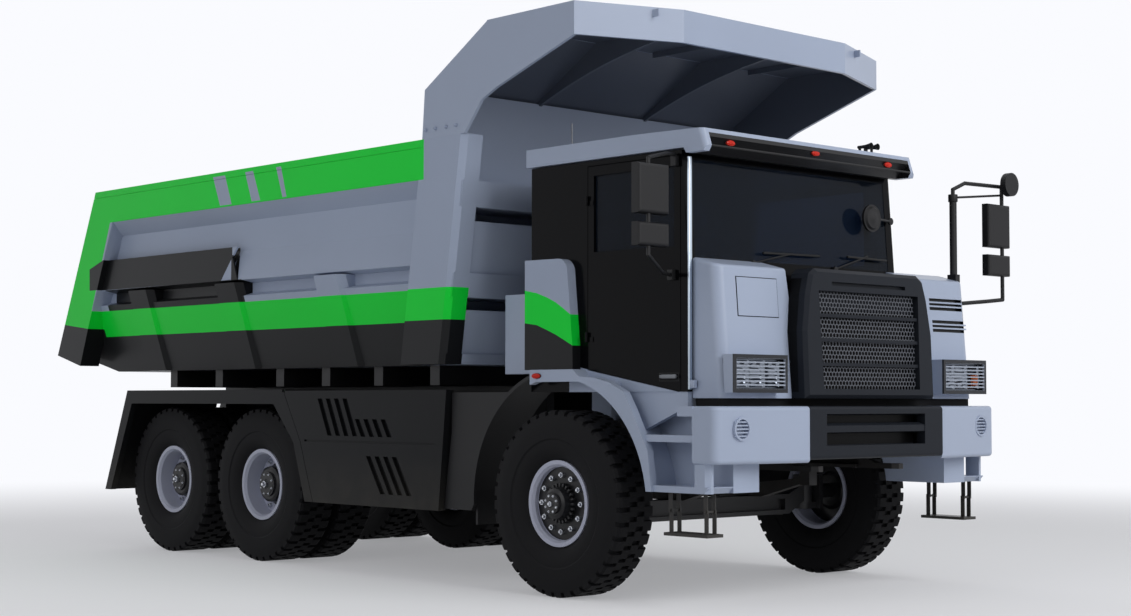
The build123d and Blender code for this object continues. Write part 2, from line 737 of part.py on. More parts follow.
hoist_nodes = {"hoist_barrels": [], "hoist_stages_lower": [], "hoist_stages_upper": [], "hoist_rods": []}
for side in (-1, 1):
    x = side * hoist_x
    tubes = [hoist_tube(x, step) for step in range(4)]
    foot = rod(on_hoist(x, 0), on_hoist(x, barrel_start + 5), 60)
    foot += bar_x(x - hoist_eye_half, x + hoist_eye_half, foot_y, foot_z, eye_radius)
    tubes[0] += foot
    tubes[0] -= bar_x(x - 100, x + 100, foot_y, foot_z, hoist_pin_radius + run_gap)
    tubes[3] += rod(on_hoist(x, barrel_end), on_hoist(x, hoist_length), 45)
    tubes[3] += bar_x(x - hoist_eye_half, x + hoist_eye_half, head_y, head_z, head_eye_radius)
    tubes[3] -= bar_x(x - 100, x + 100, head_y, head_z, hoist_pin_radius + head_eye_clear)
    for tubes_of, tube in zip(hoist_nodes.values(), tubes):
        tubes_of.append(tube)
for name, tubes_of in hoist_nodes.items():
    save(name, *tubes_of)

# Cab


def cab_outline(inset):
    low = cab_floor_z + inset
    return [(cab_front + inset, low), (cab_rear - inset, low), (cab_rear - inset, cab_top_z - inset),
            (cab_front + 55 + inset, cab_top_z - inset), (cab_front + inset, screen_low)]


def cab_shell():
    shape = slab_x(cab_outline(0), cab_right, cab_left)
    shape -= slab_x(cab_outline(cab_wall), cab_right + cab_wall, cab_left - cab_wall)
    shape -= block((cab_right + 75, cab_left - 75), (cab_front - 50, cab_front + 160),
                   (screen_low, screen_high))
    shape -= block((cab_right - 10, cab_right + door_thick), (door_front - panel_gap, door_rear + panel_gap),
                   (door_low_rear, door_high + panel_gap))
    shape -= slab_x(door_outline(panel_gap), cab_right - 10, cab_right + cab_wall)
    shape -= block((cab_left - 100, cab_left + 10), (-950, 250), (2500, 3080))
    shape -= block((cab_right + 400, cab_left - 400), (cab_rear - 100, cab_rear + 10), (2500, 3050))
    return shape


def door_outline(grow):
    return [(door_front - grow, door_low_front - grow), (door_rear + grow, door_low_rear - grow),
            (door_rear + grow, door_high + grow), (door_front - grow, door_high + grow)]


hinge_radius = 14.0
hinge_x = cab_right - hinge_radius
hinge_y = door_rear + panel_gap / 2
hinge_z = [1900.0, 2900.0]
hinge_half = 35.0
leaf_thick = 6.0


def hinge_leaf(z_mid, reach, part):
    # part is 1 for the upper half, fixed to the cab, and -1 for the lower half, fixed to the door
    z_near = z_mid + part * run_gap / 2
    z_far = z_mid + part * hinge_half
    barrel = Pos(hinge_x, hinge_y, (z_near + z_far) / 2) * Cylinder(hinge_radius, abs(z_far - z_near))
    zs = (min(z_near, z_far), max(z_near, z_far))
    leaf = block((cab_right - leaf_thick, cab_right), (hinge_y, hinge_y + part * reach), zs)
    return barrel + leaf


shell = cab_shell()
for z in hinge_z:
    shell += hinge_leaf(z, 50, 1)
save("cab_shell", shell)

roof_side = [(roof_rear, roof_low), (-1180, roof_low), (-1205, roof_low - 40),
             (roof_front + 30, roof_low - 40),
             (roof_front + 5, roof_low), (roof_front + 45, roof_high - 13), (-700, roof_high),
             (roof_rear, roof_high)]
visor_pocket = [(roof_front - 10, roof_high - 42), (roof_front + 20, roof_low - 60), (-1230, roof_low - 60)]
roof = slab_x(roof_side, cab_right - 20, cab_left + 20)
for x in (cab_right - 20, cab_left + 20):
    roof = rounded(roof, 40, (x, roof_front + 25, roof_low + 60))
roof -= slab_x(visor_pocket, cab_right + 40, cab_left - 40)
roof -= block((cab_right + 60, cab_left - 60), (cab_front + 40, cab_rear - 40), (roof_low - 60, roof_low + 60))
roof += block((cab_right + 60, cab_left - 60), (cab_front + 80, cab_rear - 60), (cab_top_z, roof_low + 61))
save("cab_roof", roof)

glass_thick = 12.0
seat_low, seat_high = screen_low + run_gap, screen_high - run_gap
screen_glass = slab_x([(cab_front + 4, seat_low), (cab_front + 4 + glass_thick, seat_low),
                       (cab_front + 54 + glass_thick, seat_high), (cab_front + 54, seat_high)],
                      cab_right + 75 + run_gap, cab_left - 75 - run_gap)
left_glass = block((cab_left - 30, cab_left - 30 + glass_thick), (-950 + run_gap, 250 - run_gap),
                   (2500 + run_gap, 3080 - run_gap))
rear_glass = block((cab_right + 400 + run_gap, cab_left - 400 - run_gap),
                   (cab_rear - 30, cab_rear - 30 + glass_thick), (2500 + run_gap, 3050 - run_gap))
save("cab_glass", screen_glass, left_glass, rear_glass)

door = slab_x(door_outline(0), cab_right, cab_right + door_thick)
window = [(door_front + 60, door_window_low), (door_rear - 60, door_window_low),
          (door_rear - 60, door_window_high), (door_front + 60, door_window_high)]
door -= slab_x(window, cab_right - 10, cab_right + door_thick + 10)
for z in hinge_z:
    door += hinge_leaf(z, 60, -1)
save("door_right", door)
door_glass = block((cab_right + 20, cab_right + 20 + glass_thick),
                   (door_front + 60 + run_gap, door_rear - 60 - run_gap),
                   (door_window_low + run_gap, door_window_high - run_gap))
save("door_glass", door_glass)

seats = []
for x in (-950, 250):
    seat = block((x - 250, x + 250), (-420, 80), (1950, 2080))
    seat += slab_x([(20, 2080), (140, 2080), (230, 2750), (130, 2750)], x - 240, x + 240)
    seat += block((x - 180, x + 180), (-330, 30), (cab_floor_z + cab_wall, 1950))
    seats.append(seat)
save("seats", *seats)
dash_front = cab_front + cab_wall + run_gap
dash = slab_x([(dash_front, 2100), (dash_front, 2420), (-960, 2450),
               (-830, 2330), (-860, 2150)], cab_right + 120, cab_left - 120)
save("dashboard", dash)
wheel_centre = (-950, -720, 2420)
grip = Plane.XZ * Pos(205, 0, 0) * RegularPolygon(17, 6)
ring = revolve(grip, Axis.Z)
wheel_plane = Plane(origin=wheel_centre, z_dir=(0, 0.55, 0.83))
steering_wheel = wheel_plane * ring
hub = wheel_plane * Cylinder(50, 40)
spokes = [wheel_plane * (Rot(0, 0, turn) * Pos(100, 0, 0) * Box(200, 32, 14)) for turn in (90, 210, 330)]
steering_wheel += hub
for spoke in spokes:
    steering_wheel += spoke
steering_wheel += rod(wheel_centre, (wheel_centre[0], wheel_centre[1] - 175, wheel_centre[2] - 130), 25)
save("steering_wheel", steering_wheel - dash)

# Front panels


def hood_side():
    # the outer panel of the left half, filled between the grille frame and the corner
    outline = [(hood_front_low_y, hood_low), (hood_front_high_y, hood_front_top), (hood_rear_y, hood_rear_top),
               (hood_rear_y, hood_low)]
    shape = slab_x(outline, grille_low_half + 10, hood_half)
    wedge = slab_y([(hood_inner_high, hood_rear_top), (hood_inner_low, hood_low),
                    (grille_low_half + 10, hood_low), (grille_low_half + 10, hood_rear_top)],
                   hood_front_low_y - 10, hood_rear_y)
    face = slab_x(outline, hood_inner_low, grille_low_half + 10)
    shape = shape + (face & wedge)
    front_mid = (hood_front_low_y + hood_front_high_y) / 2
    shape = rounded(shape, hood_corner, (hood_half, front_mid, (hood_low + hood_front_top) / 2))
    return rounded(shape, 30, (1050, hood_front_high_y, hood_front_top))


def hood_face_y(z):
    share = (z - hood_low) / (hood_front_top - hood_low)
    return hood_front_low_y + share * (hood_front_high_y - hood_front_low_y)


def on_hood_face(x_from, x_to, z_from, z_to, behind, ahead):
    # a plate that follows the slanting front face
    return slab_x([(hood_face_y(z_from) - ahead, z_from), (hood_face_y(z_from) + behind, z_from),
                   (hood_face_y(z_to) + behind, z_to), (hood_face_y(z_to) - ahead, z_to)], x_from, x_to)


hatch_x, hatch_z = (-1261.0, -839.0), (2028.0, 2296.0)
louvre_rows = [(963.0, 1390.0, 2141.0), (985.0, 1421.0, 1972.0)]
louvre_height = 92.0
hood_right = other_side(hood_side()) + on_hood_face(*hatch_x, *hatch_z, 20, 5)
hood_left = hood_side()
for x_from, x_to, z_low in louvre_rows:
    hood_left -= on_hood_face(x_from, x_to, z_low, z_low + louvre_height, 35, 10)
    for step in (1, 2):
        z = z_low + step * louvre_height / 3
        hood_left += on_hood_face(x_from - 5, x_to + 5, z - 6, z + 6, 40, 0)
save("hood_panels", hood_left, hood_right)

grille_half_outline = [(grille_low_half, hood_low), (grille_low_half, 1930), (705, 2200), (660, 2345),
                       (600, grille_top)]
grille_outline = grille_half_outline + [(-x, z) for x, z in reversed(grille_half_outline)]
grille_box_half = 600.0
surround_bevel = 26.0
mesh_low, mesh_high = 1523.0, 2222.0
mesh_low_half, mesh_high_half = 562.0, 583.0
mesh_setback = 40.0
mesh_thick = 14.0
mesh_pitch = 76.0
mesh_web = 14.0
band_count = 4
band_bar = 24.0


def grille_face_y(z):
    share = (z - hood_low) / (2347 - hood_low)
    return grille_low_y + share * (grille_high_y - grille_low_y)


def face_band(z_from, z_to, from_face, to_face):
    # a horizontal piece that follows the grille's face, at depths behind it
    return [(grille_face_y(z_from) + from_face, z_from), (grille_face_y(z_from) + to_face, z_from),
            (grille_face_y(z_to) + to_face, z_to), (grille_face_y(z_to) + from_face, z_to)]


def grille_frame():
    # the proud surround, bevelled all round, and the closed box behind it between the hood halves
    back_low, back_high = hood_face_y(hood_low) - run_gap, hood_face_y(grille_top) - run_gap
    side = slab_x([(grille_low_y, hood_low), (grille_high_y, grille_top), (back_high, grille_top),
                   (back_low, hood_low)], -grille_low_half, grille_low_half)
    surround = slab_y(grille_outline, grille_low_y - 10, -1300) & side
    front = surround.faces().sort_by(Axis.Y)[0]
    surround = chamfer(front.edges(), surround_bevel)
    surround += slab_x([(-1530, hood_low + 20), (-1530, 2300), (hood_rear_y, 2300),
                        (hood_rear_y, hood_low + 20)],
                       -grille_box_half, grille_box_half)
    window = slab_y([(-mesh_low_half, mesh_low), (mesh_low_half, mesh_low), (mesh_high_half, mesh_high),
                     (-mesh_high_half, mesh_high)], grille_low_y - 50, -1540)
    surround -= window
    surround -= slab_x(face_band(2262, 2290, -40, 30), -430, 430)
    for step in range(1, band_count):
        z = mesh_low + step * (mesh_high - mesh_low) / band_count
        surround += slab_x(face_band(z - band_bar / 2, z + band_bar / 2, 12, 75),
                           -mesh_high_half, mesh_high_half)
    return surround


def grille_mesh():
    # one sheet with staggered rows of six-sided holes in each band
    height = mesh_high - mesh_low - 2 * run_gap
    half = mesh_low_half - run_gap
    sheet = Rectangle(2 * half, height)
    band = (mesh_high - mesh_low) / band_count
    hole = RegularPolygon((mesh_pitch - mesh_web) / 2, 6, major_radius=False, rotation=30)
    holes = []
    for step in range(band_count):
        for row in (-0.5, 0.5):
            z = (step + 0.5) * band - height / 2 + row * (band - band_bar) / 2
            shift = mesh_pitch / 2 if row > 0 else 0
            count = int((2 * half - mesh_pitch - shift) / mesh_pitch) + 1
            for column in range(count):
                x = -half + mesh_pitch * 0.6 + shift + column * mesh_pitch
                holes.append(Pos(x, z, 0) * hole)
    sheet -= holes
    back_low = grille_face_y(mesh_low) + mesh_setback
    back_high = grille_face_y(mesh_high) + mesh_setback
    rise = Vector(0, back_high - back_low, mesh_high - mesh_low)
    plane = Plane(origin=Vector(0, (back_low + back_high) / 2, (mesh_low + mesh_high) / 2), x_dir=(1, 0, 0),
                  z_dir=Vector(1, 0, 0).cross(rise))
    return extrude(plane * sheet, amount=mesh_thick / 2, both=True)


frame = grille_frame()
save("grille_frame", frame)
save("grille_mesh", grille_mesh() - frame)


fog_x, fog_z = 1394.0, 1245.0
fog_radius = 80.0
bumper_round = 28.0
bumper_notch_x = 1330.0
post_front, post_rear = -1480.0, -1355.0


def bumper_end():
    near = bumper_centre_half + run_gap
    plan = [(near, bumper_mid_y + 5), (bumper_half, bumper_end_y - 8), (bumper_half, post_rear),
            (bumper_notch_x, post_rear), (bumper_notch_x, bumper_back_y), (near, bumper_back_y)]
    shape = slab_z(plan, bumper_low, bumper_high)
    shape = rounded(shape, 60, (bumper_half, bumper_end_y - 8, (bumper_low + bumper_high) / 2))
    face_mid = (1180, (bumper_mid_y + bumper_end_y) / 2)
    shape = rounded(shape, bumper_round, (*face_mid, bumper_high), (*face_mid, bumper_low))
    shape += block((1560, bumper_half), (post_rear - 5, -1215), (1330, bumper_high))
    face_y = bumper_mid_y + 5 + (fog_x - near) / (bumper_half - near) * (bumper_end_y - bumper_mid_y)
    bezel = rod((fog_x, face_y + 60, fog_z), (fog_x, face_y - 22, fog_z), fog_radius)
    well = rod((fog_x, face_y + 30, fog_z), (fog_x, face_y - 40, fog_z), fog_radius - 14)
    shape = shape + bezel - well
    for step in range(-2, 3):
        z = fog_z + step * 24
        shape += block((fog_x - fog_radius + 8, fog_x + fog_radius - 8), (face_y - 16, face_y - 8),
                       (z - 5, z + 5))
    return shape


slot_x = (-595.0, 555.0)
slot_z = (1121.0, 1357.0)


def bumper_centre():
    shape = slab_z([(-bumper_centre_half, bumper_mid_y), (bumper_centre_half, bumper_mid_y),
                    (bumper_centre_half, bumper_back_y), (-bumper_centre_half, bumper_back_y)],
                   bumper_low + 20, bumper_high)
    shape = rounded(shape, bumper_round, (0, bumper_mid_y, bumper_high), (0, bumper_mid_y, bumper_low + 20))
    shape -= block(slot_x, (bumper_mid_y - 10, bumper_mid_y + 110), slot_z)
    bar_sides = [[(0, 1345), (0, 1357), (90, 1357), (90, 1335)],
                 [(4, 1215), (4, 1262), (60, 1280), (90, 1205)]]
    for outline in bar_sides:
        shape += slab_x([(bumper_mid_y + depth, z) for depth, z in outline], slot_x[0] - 5, slot_x[1] + 5)
    return shape


save("bumper_ends", *both_sides(bumper_end()))
save("bumper_centre", bumper_centre())

lamp_z = (1492.0, 1755.0)
lamp_x = (915.0, 1475.0)
lamp_face_y = -1605.0
lamp_border = 28.0
lamp_bars = 7


def headlamp():
    # a housing that stands on the hood, with a well behind level guard bars
    (x_in, x_out), (z_low, z_high) = lamp_x, lamp_z
    plan = [(x_in, lamp_face_y), (x_out, lamp_face_y), (hood_half - 20, -1400), (x_in, -1400)]
    behind_hood = slab_x([(hood_face_y(1400) - run_gap, 1400), (hood_face_y(1800) - run_gap, 1800),
                          (-1300, 1800),
                          (-1300, 1400)], 0, 2000)
    shape = slab_z(plan, z_low, z_high) - behind_hood
    shape -= block((x_in + lamp_border, x_out - lamp_border), (lamp_face_y - 10, lamp_face_y + 80),
                   (z_low + lamp_border, z_high - lamp_border))
    pitch = (z_high - z_low - 2 * lamp_border) / (lamp_bars + 1)
    for step in range(1, lamp_bars + 1):
        z = z_low + lamp_border + step * pitch
        shape += block((x_in + 10, x_out - 10), (lamp_face_y, lamp_face_y + 8), (z - 5, z + 5))
    return shape


save("headlamps", *both_sides(headlamp()))

# Side bodywork


fender_rear = 300.0
fender_low = 1575.0


def arch(radius):
    # the wheel opening: round in front and behind, level on top
    return bar_x(-2000, 2000, 0, wheel_z, radius) & block((-2000, 2000), (-1200, 1200), (0, fender_low))


flange_edge = [(fender_rear, fender_top), (-165, fender_top), (-232, 1612), (-384, 1602), (-541, 1568),
               (-696, 1499), (-773, 1380), (-867, 1211), (-930, 1090), (-968, step_low)]


def front_fender(side, inner_x):
    # the flange round the opening, the deck behind its upper edge and the liner over the tyre
    flange = slab_x(flange_edge + [(-700, step_low), (fender_rear, fender_low - 100)],
                    side * (fender_x - 60), side * fender_x)
    crest = flange_edge[:5]
    deck = slab_x(crest + [(y, z - fender_sheet) for y, z in reversed(crest)], side * inner_x, side * fender_x)
    liner = bar_x(side * 1100, side * (fender_x - 50), 0, wheel_z, arch_radius + arch_liner)
    liner &= block((-2000, 2000), (-1200, -300), (step_low, cab_floor_z - run_gap))
    sill = slab_x([(-560, cab_floor_z - run_gap), (-1190, cab_floor_z - run_gap), (-1190, 1400), (-700, 1200)],
                  side * 1440, side * 1490)
    return (flange + deck + liner + sill) - arch(arch_radius)


right_inner = -cab_right + run_gap
left_inner = cab_left + 60
save("front_fenders", front_fender(-1, right_inner), front_fender(1, left_inner))


step_out = fender_x - 25
step_inner = front_beam_half + run_gap
shelf_x = bumper_notch_x + run_gap
shelf_z = (1152.0, 1200.0)


def step_box():
    # two open pockets between the front post and the fender flange, over a rounded foot
    post = slab_z([(1545, post_front), (step_out - 30, post_front), (step_out, post_front + 30),
                   (step_out, post_rear), (1545, post_rear)], step_low, bumper_low - run_gap)
    foot = slab_x([(-940, step_low), (post_front + 40, step_low), (post_front, step_low + 40),
                   (post_front, 850),
                   (-940, 850)], step_inner, step_out)
    shelf = block((shelf_x, step_out), (post_rear + run_gap, -700), shelf_z)
    back = block((step_inner, shelf_x + 15), (bumper_back_y + run_gap, -700), (step_low, step_high))
    back += block((step_inner, shelf_x + 15), (post_front, bumper_back_y + 1),
                  (step_low, bumper_low - run_gap))
    box = (post + foot + shelf + back) - bar_x(0, 2000, 0, wheel_z, arch_radius + arch_liner + run_gap)
    flange_line = [(y - run_gap, z) for y, z in flange_edge[4:]]
    return box - slab_x(flange_line + [(0, step_low - 1), (0, 1600)], fender_x - 60 - run_gap, 2000)


save("step_boxes", *both_sides(step_box()))

strap_y = (-1395.0, -1065.0)
strap_width, strap_thick = 34.0, 8.0
knee_z = 680.0
tread_z = 505.0


def ladder():
    # two pairs of flat straps, hinged half way down, carry one tread
    shape = block((1400, 1560), (strap_y[0] - 40, strap_y[1] + 40), (tread_z, tread_z + 22))
    for y in strap_y:
        for x in (1440, 1520):
            for z_from, z_to in ((tread_z + 5, knee_z + 12), (knee_z - 12, step_low)):
                shift = strap_thick if z_to == step_low else 0
                shape += block((x + shift, x + shift + strap_thick),
                               (y - strap_width / 2, y + strap_width / 2),
                               (z_from, z_to))
        shape += block((1430, 1545), (y - 8, y + 8), (knee_z - 8, knee_z + 8))
    return shape


save("ladders", *both_sides(ladder()))


def mudguard():
    # a hoop behind the wheel with a skirt down to the flap
    inner, outer = arch_radius + 50, arch_radius + 78
    near_y = fender_rear + run_gap
    spans = [(1510, 1600, near_y), (1200, 1520, cab_rear + 10)]
    shape = None
    for x_from, x_to, y_from in spans:
        hoop = bar_x(x_from, x_to, 0, wheel_z, outer) & block((x_from, x_to), (y_from, 1300), (700, 1700))
        shape = hoop if shape is None else shape + hoop
    shape += slab_x([(560, 1500), (1240, 1500), (1240, 1190), (1330, 590), (1000, 590), (900, 760)],
                    1560, 1600)
    shape -= bar_x(1000, 1700, 0, wheel_z, inner)
    return shape + block((1200, 1560), (968, 990), (480, 770))


save("mudguards", *both_sides(mudguard()))

slot_shift = 60.0
skirt_seam = [(2954 + 75, skirt_low), (3143 + 75, 1081), (3391 + 75, 1495)]


slot_rows = [
    # first slot's top and bottom (y, z), slots, pitch, width
    ((2912, 1452), (2764, 1140), 4, 118.0, 62.0),
    ((2382, 1282), (2295, 1138), 4, 117.0, 62.0),
    ((2226, 980), (2029, 675), 4, 115.0, 62.0),
]
slot_depth = 30.0
groove_z = 1094.0


def side_panel():
    outline = [(skirt_front, skirt_high), (skirt_front + 90, skirt_low)] + skirt_seam + [(3460, skirt_high)]
    shape = slab_x(outline, skirt_x - skirt_depth, skirt_x)
    for top, foot, count, pitch, width in slot_rows:
        for step in range(count):
            shift = -step * pitch + slot_shift
            slot = [(top[0] + shift, top[1]), (foot[0] + shift, foot[1]), (foot[0] + shift - width, foot[1]),
                    (top[0] + shift - width, top[1])]
            shape -= slab_x(slot, skirt_x - slot_depth, skirt_x + 1)
    return shape - block((skirt_x - 12, skirt_x + 1), (skirt_front + 150, 3160), (groove_z - 8, groove_z + 8))


save("side_panels", *both_sides(side_panel()))


def rear_fender():
    seam = [(y + 6, z) for y, z in skirt_seam]
    outer = seam + [(seam[-1][0] + 15, 1530), (6145, 1530), (6547, 560), (6440, 560), (6060, 1404),
                    (3635, 1404),
                    (3330, 1081), (3150, skirt_low)]
    face = slab_x(outer, skirt_x - 60, skirt_x)
    face = chamfer([near_edge(face, skirt_x, 4900, 1530), near_edge(face, skirt_x, 6346, 1045)], 24)
    sheet = slab_x([(3500, 1530), (6145, 1530), (6547, 560), (6500, 560), (6090, 1490), (3500, 1490)],
                   640, skirt_x)
    for y in (3530, trunnion_y, 5860):
        sheet += block((rail_x + rail_width / 2 + run_gap, 690), (y - 30, y + 30), (1180, 1491))
    return face + sheet


save("rear_fenders", *both_sides(rear_fender()))

wing_front = Polyline((407, fender_top + run_gap), (-120, fender_top + run_gap), (-118, 1831), (-62, 2380))
wing_corner = ThreePointArc((-62, 2380), (-30, 2455), (48, 2485))
wing_rear = Polyline((48, 2485), (407, 2489), (407, fender_top + run_gap))
wing_side = make_face(wing_front + wing_corner + wing_rear)
wing = extrude(Plane.YZ.offset(cab_right - 80) * wing_side, amount=80 - run_gap)
save("wing_panel", wing)
cabinet = block((cab_left + run_gap, 1490), (hood_rear_y + run_gap, cab_rear), (fender_top + run_gap, 2365))
save("left_cabinet", cabinet)
service = block((-1430, 1430), (500, 800), (1640, 2250)) + block((-540, 540), (540, 760), (rail_top, 1650))
save("service_cabinet", service)

# Mirrors

mirror_left_y = -1410.0
mirror_right_y = -1270.0
mirror_width = 300.0
mirror_round = 22.0


def tube_path(points, radius):
    # eight-sided lengths, each run on a little so that it meets the next at the bend
    shape = None
    for start, end in zip(points, points[1:]):
        start, end = Vector(*start), Vector(*end)
        run_on = (end - start).normalized() * radius * 0.3
        plane = Plane(origin=start - run_on, z_dir=end - start)
        piece = extrude(plane * RegularPolygon(radius, 8), amount=(end - start + run_on * 2).length)
        shape = piece if shape is None else shape + piece
    return shape


def mirror_head(side, y, z_low, z_high):
    inner, outer = side * (mirror_reach - mirror_width), side * mirror_reach
    head = block((inner, outer), (y - 30, y + 40), (z_low, z_high))
    front = head.faces().sort_by(Axis.Y)[0]
    return fillet(front.edges(), mirror_round)


pole_x, pole_y = 1420.0, -1345.0
left_stem_x = mirror_reach - 80
right_stem_x = -(mirror_reach - 120)
left_arm = tube_path([(pole_x, pole_y, hood_front_top), (pole_x, pole_y, 3120), (pole_x + 140, -1360, 3180),
                      (left_stem_x, mirror_left_y, 3180), (left_stem_x, mirror_left_y, 2260),
                      (left_stem_x - 200, -1390, 2240), (hood_half + 10, pole_y, 2210)], 16)
left_arm += block((pole_x - 28, pole_x + 28), (pole_y - 40, pole_y + 40), (hood_front_top, 2440))
left_arm += block((hood_half + run_gap, hood_half + 26), (pole_y - 30, pole_y + 30), (2160, 2260))
left_arm += mirror_head(1, mirror_left_y, 2680, 3030)
left_arm += mirror_head(1, mirror_left_y, 2450, 2620)
left_arm += Pos(left_stem_x - 20, -1500, 3190) * Rot(90, 0, 0) * Cylinder(95, 50)
left_arm += rod((left_stem_x, mirror_left_y, 3170), (left_stem_x - 20, -1490, 3190), 14)
save("mirror_left", left_arm - hood_side())
arm_root = cab_right - 20
right_arm = tube_path([(arm_root, -1095, 3155), (cab_right - 140, -1130, 3150),
                       (right_stem_x, mirror_right_y, 3080),
                       (right_stem_x, mirror_right_y, 2420), (cab_right - 200, -1150, 2320),
                       (arm_root, -1050, 2315)], 14)
for y, z in ((-1095, 3112), (-1060, 2315)):
    right_arm += block((cab_right - 36, cab_right - run_gap), (y - 24, y + 24), (z - 36, z + 36))
right_arm += mirror_head(-1, mirror_right_y, 2700, 3040)
right_arm += mirror_head(-1, mirror_right_y, 2480, 2640)
save("mirror_right", right_arm)
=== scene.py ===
from math import atan2, hypot, pi, radians

import bpy
from mathutils import Matrix, Vector


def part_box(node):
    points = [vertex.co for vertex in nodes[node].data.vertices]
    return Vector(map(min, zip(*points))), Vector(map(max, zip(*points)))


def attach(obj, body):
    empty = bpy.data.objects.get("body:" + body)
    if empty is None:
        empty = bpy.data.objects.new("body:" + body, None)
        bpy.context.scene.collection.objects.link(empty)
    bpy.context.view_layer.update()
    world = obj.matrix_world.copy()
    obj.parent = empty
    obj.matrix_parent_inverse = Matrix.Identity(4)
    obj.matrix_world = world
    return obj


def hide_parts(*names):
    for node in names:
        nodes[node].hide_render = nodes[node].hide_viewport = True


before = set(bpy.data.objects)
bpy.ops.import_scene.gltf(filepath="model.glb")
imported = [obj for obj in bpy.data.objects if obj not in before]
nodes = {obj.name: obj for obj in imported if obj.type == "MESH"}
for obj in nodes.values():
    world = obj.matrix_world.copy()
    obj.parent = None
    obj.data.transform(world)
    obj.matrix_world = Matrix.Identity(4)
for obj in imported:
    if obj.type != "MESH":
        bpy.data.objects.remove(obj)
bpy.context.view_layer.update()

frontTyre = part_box("tyre_front_right")
axleY = (frontTyre[0].y + frontTyre[1].y) / 2      # every y below is counted from the front axle, rearwards
print("frame loaded, front axle at", round(axleY, 4))


def place(x, y, z):
    return Vector((x, y + axleY, z))


# Colours and nodes

def hexLinear(code, alpha=1.0):
    parts = [int(code[i:i + 2], 16) / 255 for i in (1, 3, 5)]
    return tuple(p / 12.92 if p <= 0.04045 else ((p + 0.055) / 1.055) ** 2.4 for p in parts) + (alpha,)


def addNode(tree, kind, settings=None, links=None):
    node = tree.nodes.new("ShaderNode" + kind)
    for key, value in (settings or {}).items():
        if isinstance(key, str) and key[0].islower():
            setattr(node, key, value)
        else:
            node.inputs[key].default_value = value
    for key, socket in (links or {}).items():
        tree.links.new(socket, node.inputs[key])
    return node


def newMaterial(name, settings):
    material = bpy.data.materials.new(name)
    material.use_nodes = True
    tree = material.node_tree
    shader = tree.nodes["Principled BSDF"]
    for key, value in settings.items():
        shader.inputs[key].default_value = value
    return material, tree, shader


def beyond(tree, coords, normal, limit):
    # 1 where a point lies past a plane, which is normal times the point = limit, 0 elsewhere
    dot = addNode(tree, "VectorMath", {"operation": "DOT_PRODUCT", 1: normal}, {0: coords}).outputs["Value"]
    return addNode(tree, "Math", {"operation": "GREATER_THAN", 1: limit}, {0: dot}).outputs[0]


def joined(tree, how, masks):
    result = masks[0]
    for mask in masks[1:]:
        result = addNode(tree, "Math", {"operation": how}, {0: result, 1: mask}).outputs[0]
    return result


def inRegion(tree, coords, region):
    # 1 inside a region, 0 elsewhere. A region is a dictionary of any of these, y from the front axle:
    # x, y, z or side, which is x without its sign: (low, high), with None for no limit
    # outline: a convex loop of (y, z), anticlockwise seen from the truck's left
    # planes: (normal, limit) of slanted sides
    # halves: the same on both sides of the truck, and where y counts, only over its front half
    # axle: (y, radius) round a wheel's own axle line
    both = addNode(tree, "VectorMath", {"operation": "ABSOLUTE"}, {0: coords}).outputs[0]
    masks = []
    for axis, normal in (("x", (1, 0, 0)), ("y", (0, 1, 0)), ("z", (0, 0, 1)), ("side", (1, 0, 0))):
        low, high = region.get(axis, (None, None))
        spot = both if axis == "side" else coords
        origin = axleY if axis == "y" else 0
        if low is not None:
            masks.append(beyond(tree, spot, normal, low + origin))
        if high is not None:
            masks.append(beyond(tree, spot, [-part for part in normal], -high - origin))
    outline = region.get("outline", [])
    edges = [((0, za - zb, yb - ya), (za - zb) * ya + (yb - ya) * za)
             for (ya, za), (yb, zb) in zip(outline, outline[1:] + outline[:1])]
    for normal, limit in edges + region.get("planes", []):
        masks.append(beyond(tree, coords, normal, limit + normal[1] * axleY))
    for normal, limit in region.get("halves", []):
        masks.append(beyond(tree, both, (normal[0], -normal[1], normal[2]), limit + normal[1] * axleY))
    if "axle" in region:
        y, radius = region["axle"]
        flat = addNode(tree, "VectorMath", {"operation": "MULTIPLY", 1: (0, 1, 1)}, {0: coords}).outputs[0]
        gap = addNode(tree, "VectorMath", {"operation": "DISTANCE", 1: place(0, y, wheelRadius)}, {0: flat})
        masks.append(addNode(tree, "Math", {"operation": "LESS_THAN", 1: radius},
                             {0: gap.outputs["Value"]}).outputs[0])
    return joined(tree, "MULTIPLY", masks)


colours = {
    "paleGrey": "#A0ABC0",
    "green": "#0EDC3C",
    "darkGrey": "#161719",
    # the next grey is painted shade, for the canopy's underside
    "paintedShadeGrey": "#5A606C",
    "glossBlack": "#08080A",
    "chassisBlack": "#18181A",
    "rubber": "#121214",
    "rimGrey": "#B2B6C8",
    "castBlack": "#1B1B1D",
    "plasticGrey": "#202329",
    "plasticBlack": "#131315",
    "chrome": "#D8DADD",
    "tintedGlass": "#38465A",
    "cloth": "#50555F",
    "wornSteel": "#6B6E73",
    "dust": "#8C8578",
    "markerRed": "#E03A2E",
    "amber": "#E0701C",
    "zinc": "#C6C9CF",
    "meshGrey": "#54575E",
    # the next colour is painted shade, for the wells of the grille, the louvres and the bumper's slots
    "paintedShadeBlack": "#050506",
    "stainless": "#BFCBD6",
    "mirrorSilver": "#7C828C",
    "lampBorder": "#212328",
    "lampBars": "#98A0AE",
    "floorPale": "#E9E9EB",
    "backdropWhite": "#FAFBFF",
}

enamel = {
    "coat": 0.25, "coatRoughness": 0.12,
    "cloud": 900.0, "tone": 0.04,        # mm, how far the sheen wanders over a panel, and by what share
    "peel": 9.0, "peelDepth": 0.0006,    # mm and m: real orange peel is 3 mm wide and would not show
    "peelStrength": 0.05,
    "patch": 166.7,                      # mm, size of the dust patches
    "dustLow": 0.3, "dustMost": 0.2,     # height in m at which the dust is thickest, and its share there
}


